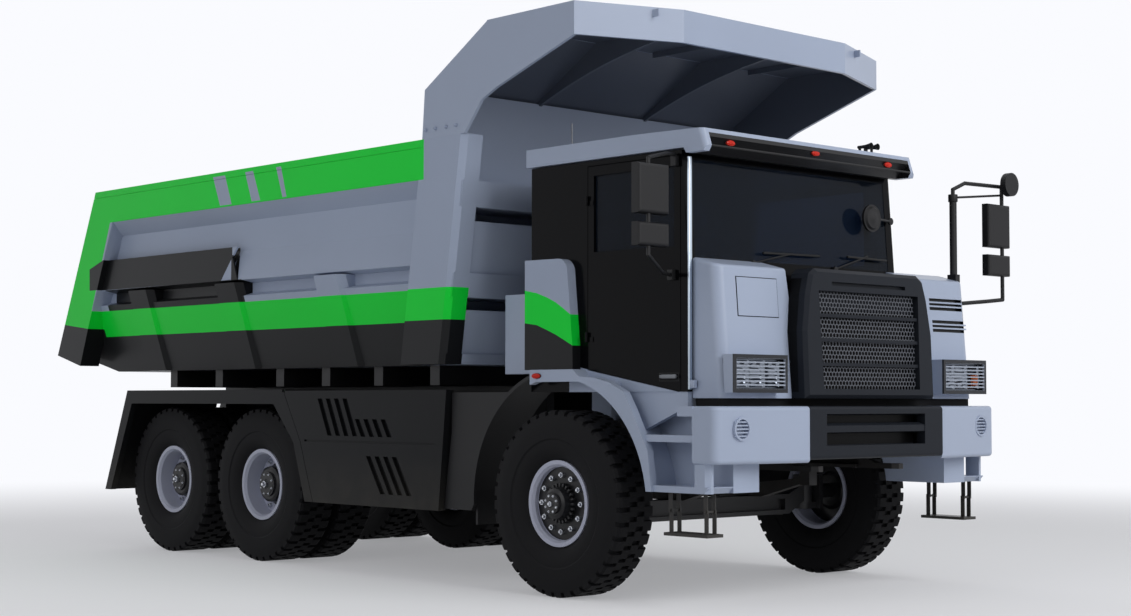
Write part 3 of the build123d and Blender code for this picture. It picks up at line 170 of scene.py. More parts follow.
def paintFinish(name, base, regions=(), roughness=0.34, dustTop=0.0, gloss=0.4):
    # sprayed enamel on steel and plastic: a soft even gloss, slight orange peel, faint clouding, dusty feet
    material, tree, shader = newMaterial(name, {"Roughness": roughness, "Coat Weight": enamel["coat"] * gloss,
                                                "Coat Roughness": enamel["coatRoughness"],
                                                "Specular IOR Level": 0.5 * gloss})
    coords = addNode(tree, "TexCoord").outputs["Object"]
    colour = addNode(tree, "RGB").outputs[0]
    colour.default_value = hexLinear(colours[base])
    for regionColour, parts in regions:
        mask = joined(tree, "MAXIMUM", [inRegion(tree, coords, part) for part in parts])
        colour = addNode(tree, "Mix", {"data_type": "RGBA", 7: hexLinear(colours[regionColour])},
                         {0: mask, 6: colour}).outputs[2]
    clouds = addNode(tree, "TexNoise", {"Scale": 1000 / enamel["cloud"], "Detail": 3.0}, {"Vector": coords})
    tone = addNode(tree, "MapRange", {"To Min": 1 - enamel["tone"], "To Max": 1 + enamel["tone"]},
                   {"Value": clouds.outputs["Fac"]})
    toned = addNode(tree, "HueSaturation", {}, {"Value": tone.outputs[0], "Color": colour})
    colour = toned.outputs[0]
    if dustTop:
        height = addNode(tree, "SeparateXYZ", {}, {0: coords}).outputs[2]
        low = addNode(tree, "MapRange", {"From Min": dustTop, "From Max": enamel["dustLow"], "To Min": 0.0,
                                         "To Max": enamel["dustMost"]}, {"Value": height})
        patches = addNode(tree, "TexNoise", {"Scale": 1000 / enamel["patch"], "Detail": 6.0},
                          {"Vector": coords})
        dusty = addNode(tree, "Math", {"operation": "MULTIPLY"},
                        {0: low.outputs[0], 1: patches.outputs["Fac"]})
        colour = addNode(tree, "Mix", {"data_type": "RGBA", 7: hexLinear(colours["dust"])},
                         {0: dusty.outputs[0], 6: colour}).outputs[2]
    peel = addNode(tree, "TexNoise", {"Scale": 1000 / enamel["peel"], "Detail": 1.0}, {"Vector": coords})
    bump = addNode(tree, "Bump", {"Strength": enamel["peelStrength"], "Distance": enamel["peelDepth"]},
                   {"Height": peel.outputs["Fac"]})
    tree.links.new(colour, shader.inputs["Base Color"])
    tree.links.new(bump.outputs[0], shader.inputs["Normal"])
    return material


wear = {"cast": 333.3, "glass": 500.0, "glassTone": 0.1}      # mm, how far the tone wanders, and its share
grainStrength = 0.5
lowIndex = 1.16      # real glass has 1.5, and would mirror the pale room more than the photo shows


def grainFinish(name, base, grain, roughness, depth=0.0004, metallic=0.0, tone=0.15, gloss=1.0):
    # any even surface with a grain: moulded plastic, cast iron, rubber, cloth; grain is its size in mm
    material, tree, shader = newMaterial(name, {"Roughness": roughness, "Metallic": metallic,
                                                "Specular IOR Level": 0.5 * gloss})
    coords = addNode(tree, "TexCoord").outputs["Object"]
    fine = addNode(tree, "TexNoise", {"Scale": 1000 / grain, "Detail": 2.0}, {"Vector": coords})
    wide = addNode(tree, "TexNoise", {"Scale": 1000 / wear["cast"], "Detail": 4.0}, {"Vector": coords})
    shade = addNode(tree, "MapRange", {"To Min": 1 - tone, "To Max": 1 + tone},
                    {"Value": wide.outputs["Fac"]})
    toned = addNode(tree, "HueSaturation", {"Color": hexLinear(colours[base])}, {"Value": shade.outputs[0]})
    bump = addNode(tree, "Bump", {"Strength": grainStrength, "Distance": depth},
                   {"Height": fine.outputs["Fac"]})
    tree.links.new(toned.outputs[0], shader.inputs["Base Color"])
    tree.links.new(bump.outputs[0], shader.inputs["Normal"])
    return material


def glassFinish(name, base, roughness, transmission):
    # glass and lenses: see-through colour under a faint film
    material, tree, shader = newMaterial(name, {"Roughness": roughness, "Transmission Weight": transmission,
                                                "IOR": lowIndex})
    coords = addNode(tree, "TexCoord").outputs["Object"]
    film = addNode(tree, "TexNoise", {"Scale": 1000 / wear["glass"], "Detail": 3.0}, {"Vector": coords})
    shade = addNode(tree, "MapRange", {"To Min": 1 - wear["glassTone"], "To Max": 1 + wear["glassTone"]},
                    {"Value": film.outputs["Fac"]})
    toned = addNode(tree, "HueSaturation", {"Color": hexLinear(colours[base])}, {"Value": shade.outputs[0]})
    tree.links.new(toned.outputs[0], shader.inputs["Base Color"])
    return material


# Painted regions of rims, lamps, cab and bed

wheelRadius = 0.684
rearAxles = {"middle": 4.07, "rear": 5.57}
hubCircle = {"front": 0.268, "rear": 0.19}          # the black middle of a rim

lampHole = {"side": (0.942, 1.448), "z": (1.519, 1.728)}
guardRear = -1.590                                  # behind the guard bars of the headlamps
lampPaint = [("paleGrey", [{"side": (1.476, None)}, {"y": (guardRear, None)}]),
             ("castBlack", [dict(lampHole, y=(guardRear, None))]),
             ("lampBars", [dict(lampHole, y=(None, guardRear))])]

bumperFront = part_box("bumper_centre")[0].y - axleY
dark = {                                # the visor, and painted shade in the wells behind the mesh, the louvres and the slots
    "behindGrille": {"planes": [((0, 1, -0.0421), -1.628)], "z": (1.50, 2.31)},
    "louvres": {"planes": [((0, 1, -0.0813), -1.6133)],
                "x": (0.95, None), "y": (None, -1.38), "z": (1.96, 2.25)},
    "bumperSlots": {"y": (bumperFront + 0.075, None), "z": (1.125, 1.353)},
    "visor": {"x": (-1.461, 0.801), "y": (None, -1.15), "z": (None, 3.2925)},
}

sill = {                                            # the cab's side below the slanted foot of the door
    "side": (1.0, None), "outline": [(-1.60, 1.0), (0.0, 1.0), (0.0, 1.700), (-1.60, 1.417)],
}

wingTop = [(0.50, 2.28), (0.273, 2.239), (0.158, 2.202), (0.064, 2.163), (-0.015, 2.118), (-0.14, 2.04),
           (-0.40, 1.86)]                           # upper edge of the green on the wing panel
wingFoot = [(0.50, 2.03), (0.273, 2.0), (0.168, 1.963), (0.064, 1.924), (-0.015, 1.888), (-0.14, 1.829),
            (-0.40, 1.70)]                          # its lower edge, dark grey below
wingStripes = [(colour, [{"outline": [(-0.40, 1.0), (0.50, 1.0)] + curve}])
               for colour, curve in (("green", wingTop), ("darkGrey", wingFoot))]

# the canopy's front lip runs straight between its two bends, and slants back from there to its cheeks
canopy = {"half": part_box("canopy")[1].x, "bend": 0.945, "frontY": -0.646, "cornerY": -0.330, "sheet": 0.028,
          "lipSheet": 0.022}
canopyLip = (canopy["frontY"] - canopy["cornerY"], canopy["half"] - canopy["bend"], 0)
lipLimit = canopyLip[0] * canopy["half"] + canopyLip[1] * canopy["cornerY"] + canopy["lipSheet"]
# painted shade: the canopy's plates are painted darker grey underneath, where shade falls
canopyPaintedShade = {                                    # the photo shows the plates darker underneath
    "side": (None, canopy["half"] - canopy["sheet"]),
    "outline": [(-0.612, 3.30), (1.32, 3.30), (1.35, 3.890), (0.62, 4.303), (-0.612, 4.303)],
    "halves": [(canopyLip, lipLimit)],
}

bed = {
    "rail": {"y": (1.40, 7.6), "z": (3.175, 3.60)},
    "pillar": {"outline": [(6.874, 1.776), (7.45, 1.70), (6.56, 3.60), (6.255, 3.60), (6.255, 3.18),
                           (6.727, 2.146)]},
    "band": {"y": (0.9, 7.6), "z": (2.065, 2.316)},
    "foot": {"y": (0.9, 6.80), "z": (1.0, 2.065)},
    "tail": {"outline": [(6.70, 1.0), (7.6, 1.0), (7.6, 2.24), (6.70, 2.140)]},
    "flag": {"outline": [(4.224, 2.516), (6.705, 2.521), (6.711, 2.733), (6.443, 2.812), (4.141, 2.812),
                         (4.224, 2.72)]},
    "flagEnd": {"outline": [(4.136, 2.505), (4.24, 2.505), (4.24, 2.74), (4.21, 2.74)]},
    "recess": {"y": (4.08, 6.50), "z": (2.316, 2.518)},
    "skin": 1.40, "postInner": 1.57,                # the stripes keep to the outer skin, past these
}
# the slanted bars that cut the green rail: y of a bar's two sides at its top, then at its foot
railBars = [((4.263, 4.463), (4.150, 4.341)), ((3.812, 3.939), (3.693, 3.830)),
            ((3.378, 3.454), (3.290, 3.352))]
barTop, barFoot = 3.46, 3.19
greyBars = [{"outline": [(foot[0], barFoot), (foot[1], barFoot), (head[1], barTop), (head[0], barTop)]}
            for head, foot in railBars]
# the load's side of the walls, which lean outwards in two steps, and of the front wall, which leans forwards
innerWalls = {"halves": [((-1, 0, 0.2333), -0.9534), ((-1, 0, 0.115), -1.2433)]}
innerFront = dict(innerWalls, planes=[((0, 1, 0.148), 1.9276)])
stripes = [("green", [bed["rail"], bed["pillar"]]), ("paleGrey", greyBars),
           ("darkGrey", [bed["flag"], bed["flagEnd"], bed["recess"]]), ("green", [bed["band"]]),
           ("darkGrey", [bed["foot"], bed["tail"]])]


def stripesPast(reach, bare):
    # the bed's stripes, past reach from the middle, and bare steel on the load's side
    outer = [(colour, [dict(part, side=(reach, None)) for part in parts]) for colour, parts in stripes]
    return outer + [("wornSteel", [bare])]


def rimFinish(name, axle, radius):
    return paintFinish(name, "rimGrey", [("castBlack", [{"axle": (axle, radius)}])], 0.3)


finishes = {
    # sprayed pieces: plain, or with stripes, a dark visor and painted shade in wells and under the canopy,
    # painted by place
    "paintGrey": paintFinish("enamelPaleGrey", "paleGrey", dustTop=0.7),
    "bedPaint": paintFinish("enamelBedStripes", "paleGrey", stripesPast(bed["skin"], innerWalls), gloss=0.25),
    "frontWallPaint": paintFinish("enamelFrontWallStripes", "paleGrey",
                                  stripesPast(bed["postInner"], innerFront), gloss=0.25),
    "wingPaint": paintFinish("enamelWingStripes", "paleGrey", wingStripes, gloss=0.25),
    "canopyPaint": paintFinish("enamelCanopy", "paleGrey", [("paintedShadeGrey", [canopyPaintedShade])]),
    "paintDark": paintFinish("enamelDarkGrey", "darkGrey", dustTop=1.0, gloss=0.15),
    "glossBlack": paintFinish("enamelGlossBlack", "glossBlack", roughness=0.18, gloss=0.12),
    "cabPaint": paintFinish("enamelCabShell", "glossBlack", [("paleGrey", [sill])], 0.18, gloss=0.12),
    "chassis": paintFinish("powderCoatBlack", "chassisBlack", roughness=0.5, dustTop=1.2, gloss=0.5),
    "frontRim": rimFinish("wheelEnamelFront", 0.0, hubCircle["front"]),
    "middleRim": rimFinish("wheelEnamelMiddle", rearAxles["middle"], hubCircle["rear"]),
    "rearRim": rimFinish("wheelEnamelRear", rearAxles["rear"], hubCircle["rear"]),
    "lampHousing": paintFinish("headlampHousing", "lampBorder", lampPaint),
    "roofPaint": paintFinish("enamelRoof", "paleGrey", [("castBlack", [dark["visor"]])]),
    # the hood's louvres, the wells behind the grille and the bumper's slots are painted near black as shade
    "hoodPaint": paintFinish("enamelHood", "paleGrey", [("paintedShadeBlack", [dark["louvres"]])], dustTop=0.7),
    "grillePlastic": paintFinish("grainedGrillePlastic", "plasticGrey",
                                 [("paintedShadeBlack", [dark["behindGrille"]])], 0.45, gloss=0.15),
    "bumperPlastic": paintFinish("grainedBumperPlastic", "plasticGrey",
                                 [("paintedShadeBlack", [dark["bumperSlots"]])], 0.45, gloss=0.15),
    # metal: the plated and brushed pieces mirror the white room, the worn ones only shimmer
    "zinc": grainFinish("zincPlatedSteel", "zinc", 30.0, 0.32, 0.00005, 1.0, 0.05),
    "satinSteel": grainFinish("brushedStainless", "stainless", 4.0, 0.28, 0.00005, 1.0, 0.05),
    "dullSteel": grainFinish("castHandleLever", "wornSteel", 4.0, 0.5, 0.00005, 0.5, 0.05),
    "steel": grainFinish("wornBedSteel", "wornSteel", 20.0, 0.5, 0.0006, 0.7, 0.3),
    "chrome": grainFinish("chromedRod", "chrome", 40.0, 0.12, 0.00005, 1.0, 0.03),
    "reflector": grainFinish("silveredReflector", "mirrorSilver", 60.0, 0.10, 0.00002, 1.0, 0.02),
    # cast, moulded and woven pieces: dark and dull, with a grain that breaks the highlight
    "cast": grainFinish("castIronPainted", "castBlack", 4.0, 0.55),
    "rubber": grainFinish("mouldedRubber", "rubber", 6.0, 0.72, gloss=0.25),
    "meshPlastic": grainFinish("grainedMeshPlastic", "meshGrey", 2.5, 0.45, 0.0002, gloss=0.5),
    "plasticBlack": grainFinish("grainedPlasticBlack", "plasticBlack", 2.5, 0.5, 0.0002, gloss=0.5),
    "cloth": grainFinish("wovenSeatCloth", "cloth", 3.0, 0.9),
    # tinted panes show the cab's inside darkly, and the lenses glow in their own colour
    "glass": glassFinish("tintedGlass", "tintedGlass", 0.03, 0.9),
    "redLens": glassFinish("mouldedRedLens", "markerRed", 0.12, 0.25),
    "amberLens": glassFinish("mouldedAmberLens", "amber", 0.12, 0.25),
}

# which CAD node wears which finish; tyres and rims are found by their names
nodeFinish = {
    "chassis": ["frame_rails", "cross_members", "front_springs", "rear_springs", "prop_shafts", "bed_pivots",
                "ladders", "bed_subframe", "hoist_barrels", "tie_rod"],
    "cast": ["front_axle", "rear_axle_housings", "drive_motor", "knuckle_right", "knuckle_left"],
    "plasticBlack": ["battery_packs", "dashboard", "steering_wheel", "grille_mesh", "mudguards",
                     "mirror_left", "mirror_right"],
    "paintGrey": ["bumper_ends", "front_fenders", "step_boxes", "left_cabinet", "service_cabinet"],
    "paintDark": ["side_panels", "rear_fenders"],
    "chrome": ["hoist_stages_lower", "hoist_stages_upper", "hoist_rods"],
    "glass": ["cab_glass", "door_glass"],
    "cabPaint": ["cab_shell"], "glossBlack": ["door_right"], "roofPaint": ["cab_roof"], "cloth": ["seats"],
    "hoodPaint": ["hood_panels"], "grillePlastic": ["grille_frame"], "bumperPlastic": ["bumper_centre"],
    "lampHousing": ["headlamps"], "wingPaint": ["wing_panel"], "bedPaint": ["bed_sides"],
    "steel": ["bed_floor"], "frontWallPaint": ["headboard"], "canopyPaint": ["canopy"],
    "rubber": [name for name in nodes if name.startswith("tyre")],
}
for row in ("front", "middle", "rear"):
    nodeFinish[row + "Rim"] = [name for name in nodes if name.startswith("rim") and name.split("_")[1] == row]
for finish, names in nodeFinish.items():
    for name in names:
        nodes[name].data.materials.clear()
        nodes[name].data.materials.append(finishes[finish])
print("finishes on", sum(len(names) for names in nodeFinish.values()), "of", len(nodes), "pieces")


# Modelling

facingShare = 0.9      # a face looks along a direction where its normal's share along it is past this
mergeGap = 0.0001      # m, points that lie closer become one
endRim = 0.3           # width of the ring inset in a rod's ends, by its radius


def clearSelection():
    bpy.ops.object.select_all(action="DESELECT")


def makeActive(piece):
    clearSelection()
    piece.select_set(True)
    bpy.context.view_layer.objects.active = piece


def openEdit(piece):
    makeActive(piece)
    bpy.ops.object.mode_set(mode="EDIT")
    bpy.ops.mesh.select_all(action="SELECT")


def closeEdit():
    # points that meet become one, and all faces turn outwards
    bpy.ops.mesh.select_all(action="SELECT")
    bpy.ops.mesh.remove_doubles(threshold=mergeGap)
    bpy.ops.mesh.normals_make_consistent(inside=False)
    bpy.ops.object.mode_set(mode="OBJECT")


def pickFaces(piece, test):
    # selects the faces whose middle and normal pass the test
    bpy.ops.mesh.select_mode(type="FACE")
    bpy.ops.mesh.select_all(action="DESELECT")
    bpy.ops.object.mode_set(mode="OBJECT")
    for face in piece.data.polygons:
        face.select = test(face.center, face.normal)
    bpy.ops.object.mode_set(mode="EDIT")


def pickFacing(piece, way, both=False):
    # selects the faces that look along way, and with both also those that look back
    way = Vector(way)
    pickFaces(piece, lambda spot, normal: (abs(normal.dot(way)) if both else normal.dot(way)) > facingShare)


def pickEdges(piece, test):
    # selects the edges whose two ends pass the test
    bpy.ops.mesh.select_mode(type="EDGE")
    bpy.ops.mesh.select_all(action="DESELECT")
    bpy.ops.object.mode_set(mode="OBJECT")
    spots = [vertex.co.copy() for vertex in piece.data.vertices]
    for edge in piece.data.edges:
        edge.select = test(spots[edge.vertices[0]], spots[edge.vertices[1]])
    bpy.ops.object.mode_set(mode="EDIT")


def near(value, target, slack=0.0006):
    return abs(value - target) < slack


def sliceAt(normal, spots, **options):
    # cuts the whole mesh by a plane through each spot
    for spot in spots:
        bpy.ops.mesh.select_all(action="SELECT")
        bpy.ops.mesh.bisect(plane_co=spot, plane_no=normal, **options)


def pull(shift, scale=(1, 1, 1), centre=(0, 0, 0)):
    # extrudes what is selected along shift, then scales its end about centre
    bpy.ops.mesh.extrude_region_move(TRANSFORM_OT_translate={"value": shift})
    bpy.ops.transform.resize(value=scale, center_override=centre)


def stepped(piece, way, steps, centre=(0, 0, 0), both=False):
    # works on the faces that look along way, in steps of (rim, lift, scale): inset by rim, extruded by lift
    # and scaled across way about centre. No rim leaves out the inset; no lift with scale 1 the extrusion
    openEdit(piece)
    pickFacing(piece, way, both)
    for rim, lift, scale in steps:
        if rim:
            bpy.ops.mesh.inset(thickness=rim)
        if lift or scale != 1:
            pull([part * lift for part in way], [1 if part else scale for part in way], centre)
    closeEdit()
    return piece


def newBox(low, high):
    clearSelection()
    low, high = Vector(low), Vector(high)
    bpy.ops.mesh.primitive_cube_add(size=1, location=(low + high) / 2, scale=high - low)
    bpy.ops.object.transform_apply(location=True, rotation=True, scale=True)
    return bpy.context.object


def boxAt(xs, ys, zs):
    # a box between two values of x, of y from the front axle, and of z
    return newBox(place(xs[0], ys[0], zs[0]), place(xs[1], ys[1], zs[1]))


def leaningBox(xs, ys, zs, lean, topShare=1):
    # a box whose top stands further back than its foot by lean, and is narrowed to a share of its width
    piece = boxAt(xs, ys, zs)
    openEdit(piece)
    pickFacing(piece, (0, 0, 1))
    bpy.ops.transform.translate(value=(0, lean, 0))
    bpy.ops.transform.resize(value=(topShare, 1, 1), center_override=place(sum(xs) / 2, ys[0], zs[1]))
    closeEdit()
    return piece


def newDrum(spot, axis, radius, depth, sides, ends="NGON"):
    clearSelection()
    turn = Vector(axis).to_track_quat("Z", "Y").to_euler()
    bpy.ops.mesh.primitive_cylinder_add(vertices=sides, radius=radius, depth=depth, end_fill_type=ends,
                                        location=spot, rotation=turn)
    bpy.ops.object.transform_apply(location=True, rotation=True, scale=True)
    return bpy.context.object


def newRod(start, end, radius, sides=10):
    # a bar with a ring inset in both ends, which keeps their edges crisp
    along = end - start
    piece = newDrum((start + end) / 2, along, radius, along.length, sides)
    return stepped(piece, along.normalized(), [(radius * endRim, 0, 1)], both=True)


def applyModifier(piece, kind, settings):
    makeActive(piece)
    modifier = piece.modifiers.new(kind.lower(), kind)
    for key, value in settings.items():
        setattr(modifier, key, value)
    bpy.ops.object.modifier_apply(modifier=modifier.name)
    return piece


def softened(piece, width):
    return applyModifier(piece, "BEVEL", {"width": width, "segments": 2})


def copyOf(piece, matrix):
    twin = piece.copy()
    twin.data = piece.data.copy()
    bpy.context.scene.collection.objects.link(twin)
    twin.data.transform(matrix)
    if matrix.determinant() < 0:
        openEdit(twin)
        closeEdit()
    return twin


def remove(piece):
    bpy.data.objects.remove(piece)


def coat(piece, finish):
    piece.data.materials.clear()
    piece.data.materials.append(finishes[finish])
    return piece


def joinAll(pieces):
    clearSelection()
    for piece in pieces:
        piece.select_set(True)
    bpy.context.view_layer.objects.active = pieces[0]
    bpy.ops.object.join()
    return pieces[0]


def dress(piece, name, body, replaced=(), smooth=30):
    # names a finished piece, says what it rides on and stands for, and smooths its edges up to smooth degrees
    piece.name = name
    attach(piece, body)
    if replaced:
        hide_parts(*replaced)
    if smooth:
        makeActive(piece)
        bpy.ops.object.shade_smooth_by_angle(angle=radians(smooth))


bothSides = (("right", -1), ("left", 1))


def facingOut(sign, x, y, z):
    # carries a piece that was made facing left to its place, turned round where sign is -1, on the right
    return Matrix.Translation(place(x, y, z)) @ Matrix.Rotation(pi if sign < 0 else 0, 4, "Z")


# Tyres

tyre = {
    "sides": 120, "lugSteps": 3,               # 40 lugs round, each two steps of lug and one of groove
    "grooveSteps": (0, 1, 0, 2),               # the step that is groove, in each of four strips across
    "groove": 0.657, "lugFoot": 0.640,         # radius of the grooves' floor, and where lugs end
    "treadHalf": 0.150, "stripHalf": 0.072,
    # half width and radius from the tread's edge down to the bead
    "flank": [(0.172, 0.644), (0.1835, 0.606), (0.1875, 0.545), (0.187, 0.478), (0.179, 0.466),
              (0.181, 0.425), (0.166, 0.366), (0.149, 0.342), (0.1275, 0.3185)],
    "front": 1.475, "outer": 1.330, "inner": 0.900,      # x of the middle of a tyre
}
twinReach = (tyre["outer"], tyre["inner"])
wheelRows = [("front", 0.0, (tyre["front"],))] + [(row, axle, twinReach) for row, axle in rearAxles.items()]


def wheelName(start, row, side):
    # the front wheels are single, the others twins
    return start + ("_" if row == "front" else "s_") + row + "_" + side


def makeTyre():
    piece = newDrum((0, 0, 0), (1, 0, 0), tyre["groove"], 2 * tyre["treadHalf"], tyre["sides"], "NOTHING")
    openEdit(piece)
    cuts = (-tyre["stripHalf"], 0, tyre["stripHalf"])
    sliceAt((1, 0, 0), [(cut, 0, 0) for cut in cuts])
    for sign in (1, -1):
        edge = sign * tyre["treadHalf"]
        pickEdges(piece, lambda a, b: near(a.x, edge) and near(b.x, edge))
        lastX, lastRadius = tyre["treadHalf"], tyre["groove"]
        for x, radius in tyre["flank"]:
            scale = radius / lastRadius
            pull((sign * (x - lastX), 0, 0), (1, scale, scale))
            lastX, lastRadius = x, radius
    bead, beadRadius = tyre["flank"][-1]
    pickEdges(piece, lambda a, b: near(abs(a.x), bead) and near(a.x, b.x)
              and near(hypot(a.y, a.z), beadRadius))
    bpy.ops.mesh.bridge_edge_loops()
    step = 2 * pi / tyre["sides"]

    def isLug(spot, normal):
        groove = tyre["grooveSteps"][sum(spot.x > cut for cut in cuts)]
        onTread = hypot(spot.y, spot.z) > tyre["lugFoot"]
        return onTread and atan2(spot.z, spot.y) // step % tyre["lugSteps"] != groove

    pickFaces(piece, isLug)
    grown = wheelRadius / tyre["groove"]
    pull((0, 0, 0), (1, grown, grown))
    closeEdit()
    return coat(piece, "rubber")


tyreMaster = makeTyre()
for side, sign in bothSides:
    for row, axle, reaches in wheelRows:
        copies = [copyOf(tyreMaster, facingOut(sign, sign * x, axle, wheelRadius)) for x in reaches]
        dress(joinAll(copies), "tread_" + row + "_" + side, wheelName("wheel", row, side),
              [wheelName("tyre", row, side)])
remove(tyreMaster)
print("tyres ready")


# Wheel nuts and hub caps

nutShape = {"high": 1.2, "rim": 0.25, "stud": 0.7, "studEnd": 0.65}       # the first three by its radius
capShape = [(0.12, 0.4, 0.92), (0.40, -0.3, 0.9)]      # rim by its radius, lift by its depth, scale
wheelTrim = {
    "nut": 0.021, "nuts": 12,
    "bolt": 0.00945, "bolts": 8, "boltCircle": 0.82, "boltLift": 0.014,   # the circle by the hub's radius
    "capSides": 36, "capDeep": 0.02, "capSink": 0.003,
    "plug": 0.28, "plugLift": 0.012,                                      # the plug by the hub's radius
    "rib": (0.030, 0.008, 0.014), "ribs": 24, "ribSink": 0.006,           # length, half width, half height
    "ribEdge": 0.003,
    "front": {"disc": 1.561, "circle": 0.208, "hubEnd": 1.660, "hub": 0.074, "ring": 0.135, "ringX": 1.577},
    "rear": {"disc": 1.291, "circle": 0.228, "hubEnd": 1.400, "hub": 0.110},
}


def makeNut(size):
    # a hexagon nut with the domed end of its stud, facing left
    high = size * nutShape["high"]
    piece = newDrum((high / 2, 0, 0), (1, 0, 0), size, high, 6)
    return stepped(piece, (1, 0, 0), [(size * nutShape["rim"], size * nutShape["stud"], nutShape["studEnd"])])


def makeHubCap(radius, depth):
    # a round cap with a raised rim and a sunk middle, facing left
    piece = newDrum((depth / 2, 0, 0), (1, 0, 0), radius, depth, wheelTrim["capSides"])
    return stepped(piece, (1, 0, 0), [(radius * rim, depth * lift, scale) for rim, lift, scale in capShape])


def ringOf(master, count, radius, x, shift=0.0):
    # copies round the axle line, the first one turned by shift of a step
    return [copyOf(master, Matrix.Rotation(2 * pi * (step + shift) / count, 4, "X")
                   @ Matrix.Translation((x, 0, radius))) for step in range(count)]


def makeTrim(kind):
    # everything bolted on one wheel's outer side, at its own axle line, facing left
    sizes = wheelTrim[kind]
    hub, hubEnd = sizes["hub"], sizes["hubEnd"]
    nut = coat(makeNut(wheelTrim["nut"]), "zinc")
    bolt = coat(makeNut(wheelTrim["bolt"]), "zinc")
    pieces = ringOf(nut, wheelTrim["nuts"], sizes["circle"], sizes["disc"])
    pieces += ringOf(bolt, wheelTrim["bolts"], hub * wheelTrim["boltCircle"],
                     hubEnd + wheelTrim["boltLift"], 0.5)
    cap = coat(makeHubCap(hub, wheelTrim["capDeep"]), "cast")
    cap.data.transform(Matrix.Translation((hubEnd - wheelTrim["capSink"], 0, 0)))
    plug = coat(makeNut(hub * wheelTrim["plug"]), "zinc")
    plug.data.transform(Matrix.Translation((hubEnd + wheelTrim["plugLift"], 0, 0)))
    pieces += [cap, plug]
    if "ring" in sizes:
        length, halfWide, halfHigh = wheelTrim["rib"]
        bar = newBox((0, -halfWide, -halfHigh), (length, halfWide, halfHigh))
        rib = coat(softened(bar, wheelTrim["ribEdge"]), "cast")
        pieces += ringOf(rib, wheelTrim["ribs"], sizes["ring"], sizes["ringX"] - wheelTrim["ribSink"])
        remove(rib)
    remove(nut)
    remove(bolt)
    return joinAll(pieces)


for kind, rows in (("front", wheelRows[:1]), ("rear", wheelRows[1:])):
    master = makeTrim(kind)
    for row, axle, reaches in rows:
        for side, sign in bothSides:
            dress(copyOf(master, facingOut(sign, 0, axle, wheelRadius)), "wheelNuts_" + row + "_" + side,
                  wheelName("wheel", row, side))
    remove(master)
print("wheel nuts ready")


# Grille mesh

grille = {
    "pitch": 0.036, "web": 0.007, "deep": 0.006, "merge": 0.0002, "spare": 3,      # cells past the opening
    "low": 1.523, "high": 2.222, "halfLow": 0.590, "halfHigh": 0.568,
    "frontLow": -1.602, "frontHigh": -1.5715,
}


def makeGrilleMesh():
    # hexagon cells with a vertex on top, two to a unit, repeated and cut to the opening
    pitch, half = grille["pitch"], grille["halfLow"]
    radius = pitch / 3 ** 0.5
    height = grille["high"] - grille["low"]
    clearSelection()
    bpy.ops.mesh.primitive_circle_add(vertices=6, radius=radius, fill_type="NGON", rotation=(pi / 2, 0, 0))
    bpy.ops.object.transform_apply(location=True, rotation=True, scale=True)
    cell = bpy.context.object
    openEdit(cell)
    bpy.ops.mesh.inset(thickness=grille["web"] / 2)
    bpy.ops.mesh.delete(type="FACE")
    pickEdges(cell, lambda a, b: max(a.length, b.length) < radius - 0.001)
    pull((0, grille["deep"], 0))
    bpy.ops.object.mode_set(mode="OBJECT")
    sheet = joinAll([cell, copyOf(cell, Matrix.Translation((pitch / 2, 0, 1.5 * radius)))])
    columns = int(2 * half / pitch) + grille["spare"]
    rows = int(height / (3 * radius)) + grille["spare"]
    for count, shift in ((columns, (pitch, 0, 0)), (rows, (0, 0, 3 * radius))):
        applyModifier(sheet, "ARRAY", {"use_relative_offset": False, "use_constant_offset": True,
                                       "constant_offset_displace": shift, "count": count,
                                       "use_merge_vertices": True, "merge_threshold": grille["merge"]})
    sheet.data.transform(Matrix.Translation((-(columns - 1) * pitch / 2, 0, -radius)))
    openEdit(sheet)
    slope = (half - grille["halfHigh"]) / height
    for spot, normal in (((0, 0, 0), (0, 0, -1)), ((0, 0, height), (0, 0, 1)),
                         ((half, 0, 0), (1, 0, slope)), ((-half, 0, 0), (-1, 0, slope))):
        sliceAt(normal, [spot], clear_outer=True)
    bpy.ops.mesh.select_all(action="SELECT")
    bpy.ops.mesh.remove_doubles(threshold=grille["merge"])
    bpy.ops.object.mode_set(mode="OBJECT")
    lean = atan2(grille["frontHigh"] - grille["frontLow"], height)
    sheet.data.transform(Matrix.Translation(place(0, grille["frontLow"], grille["low"]))
                         @ Matrix.Rotation(-lean, 4, "X"))
    return coat(sheet, "meshPlastic")


dress(makeGrilleMesh(), "grilleCells", "chassis", ["grille_mesh"], smooth=0)
print("grille ready")


# Headlamps

lamp = {
    "x": (0.945, 1.445), "y": (-1.560, -1.527), "z": (1.522, 1.726), "columns": 3,
    "edge": 0.003, "rim": 0.008, "bowl": [(0.012, 0.85), (0.010, 0.6)],      # each step's depth and scale
    "amberX": (1.345, 1.413), "amberY": (-1.566, -1.550), "amberZ": (1.560, 1.640), "ribs": 5,
}
ribbed = {"groove": 0.002, "lift": 0.004}


def makeReflector():
    # three shallow bowls side by side, sunk into one plate
    piece = boxAt(lamp["x"], lamp["y"], lamp["z"])
    openEdit(piece)
    xLow, xHigh = lamp["x"]
    width = (xHigh - xLow) / lamp["columns"]
    sliceAt((1, 0, 0), [place(xLow + step * width, 0, 0) for step in range(1, lamp["columns"])])
    for step in range(lamp["columns"]):
        centre = place(xLow + (step + 0.5) * width, lamp["y"][0], sum(lamp["z"]) / 2)
        pickFaces(piece, lambda spot, normal: normal.y < -facingShare and near(spot.x, centre.x, 0.01))
        bpy.ops.mesh.inset(thickness=lamp["rim"])
        for depth, scale in lamp["bowl"]:
            pull((0, depth, 0), (scale, 1, scale), centre)
    closeEdit()
    return coat(softened(piece, lamp["edge"]), "reflector")


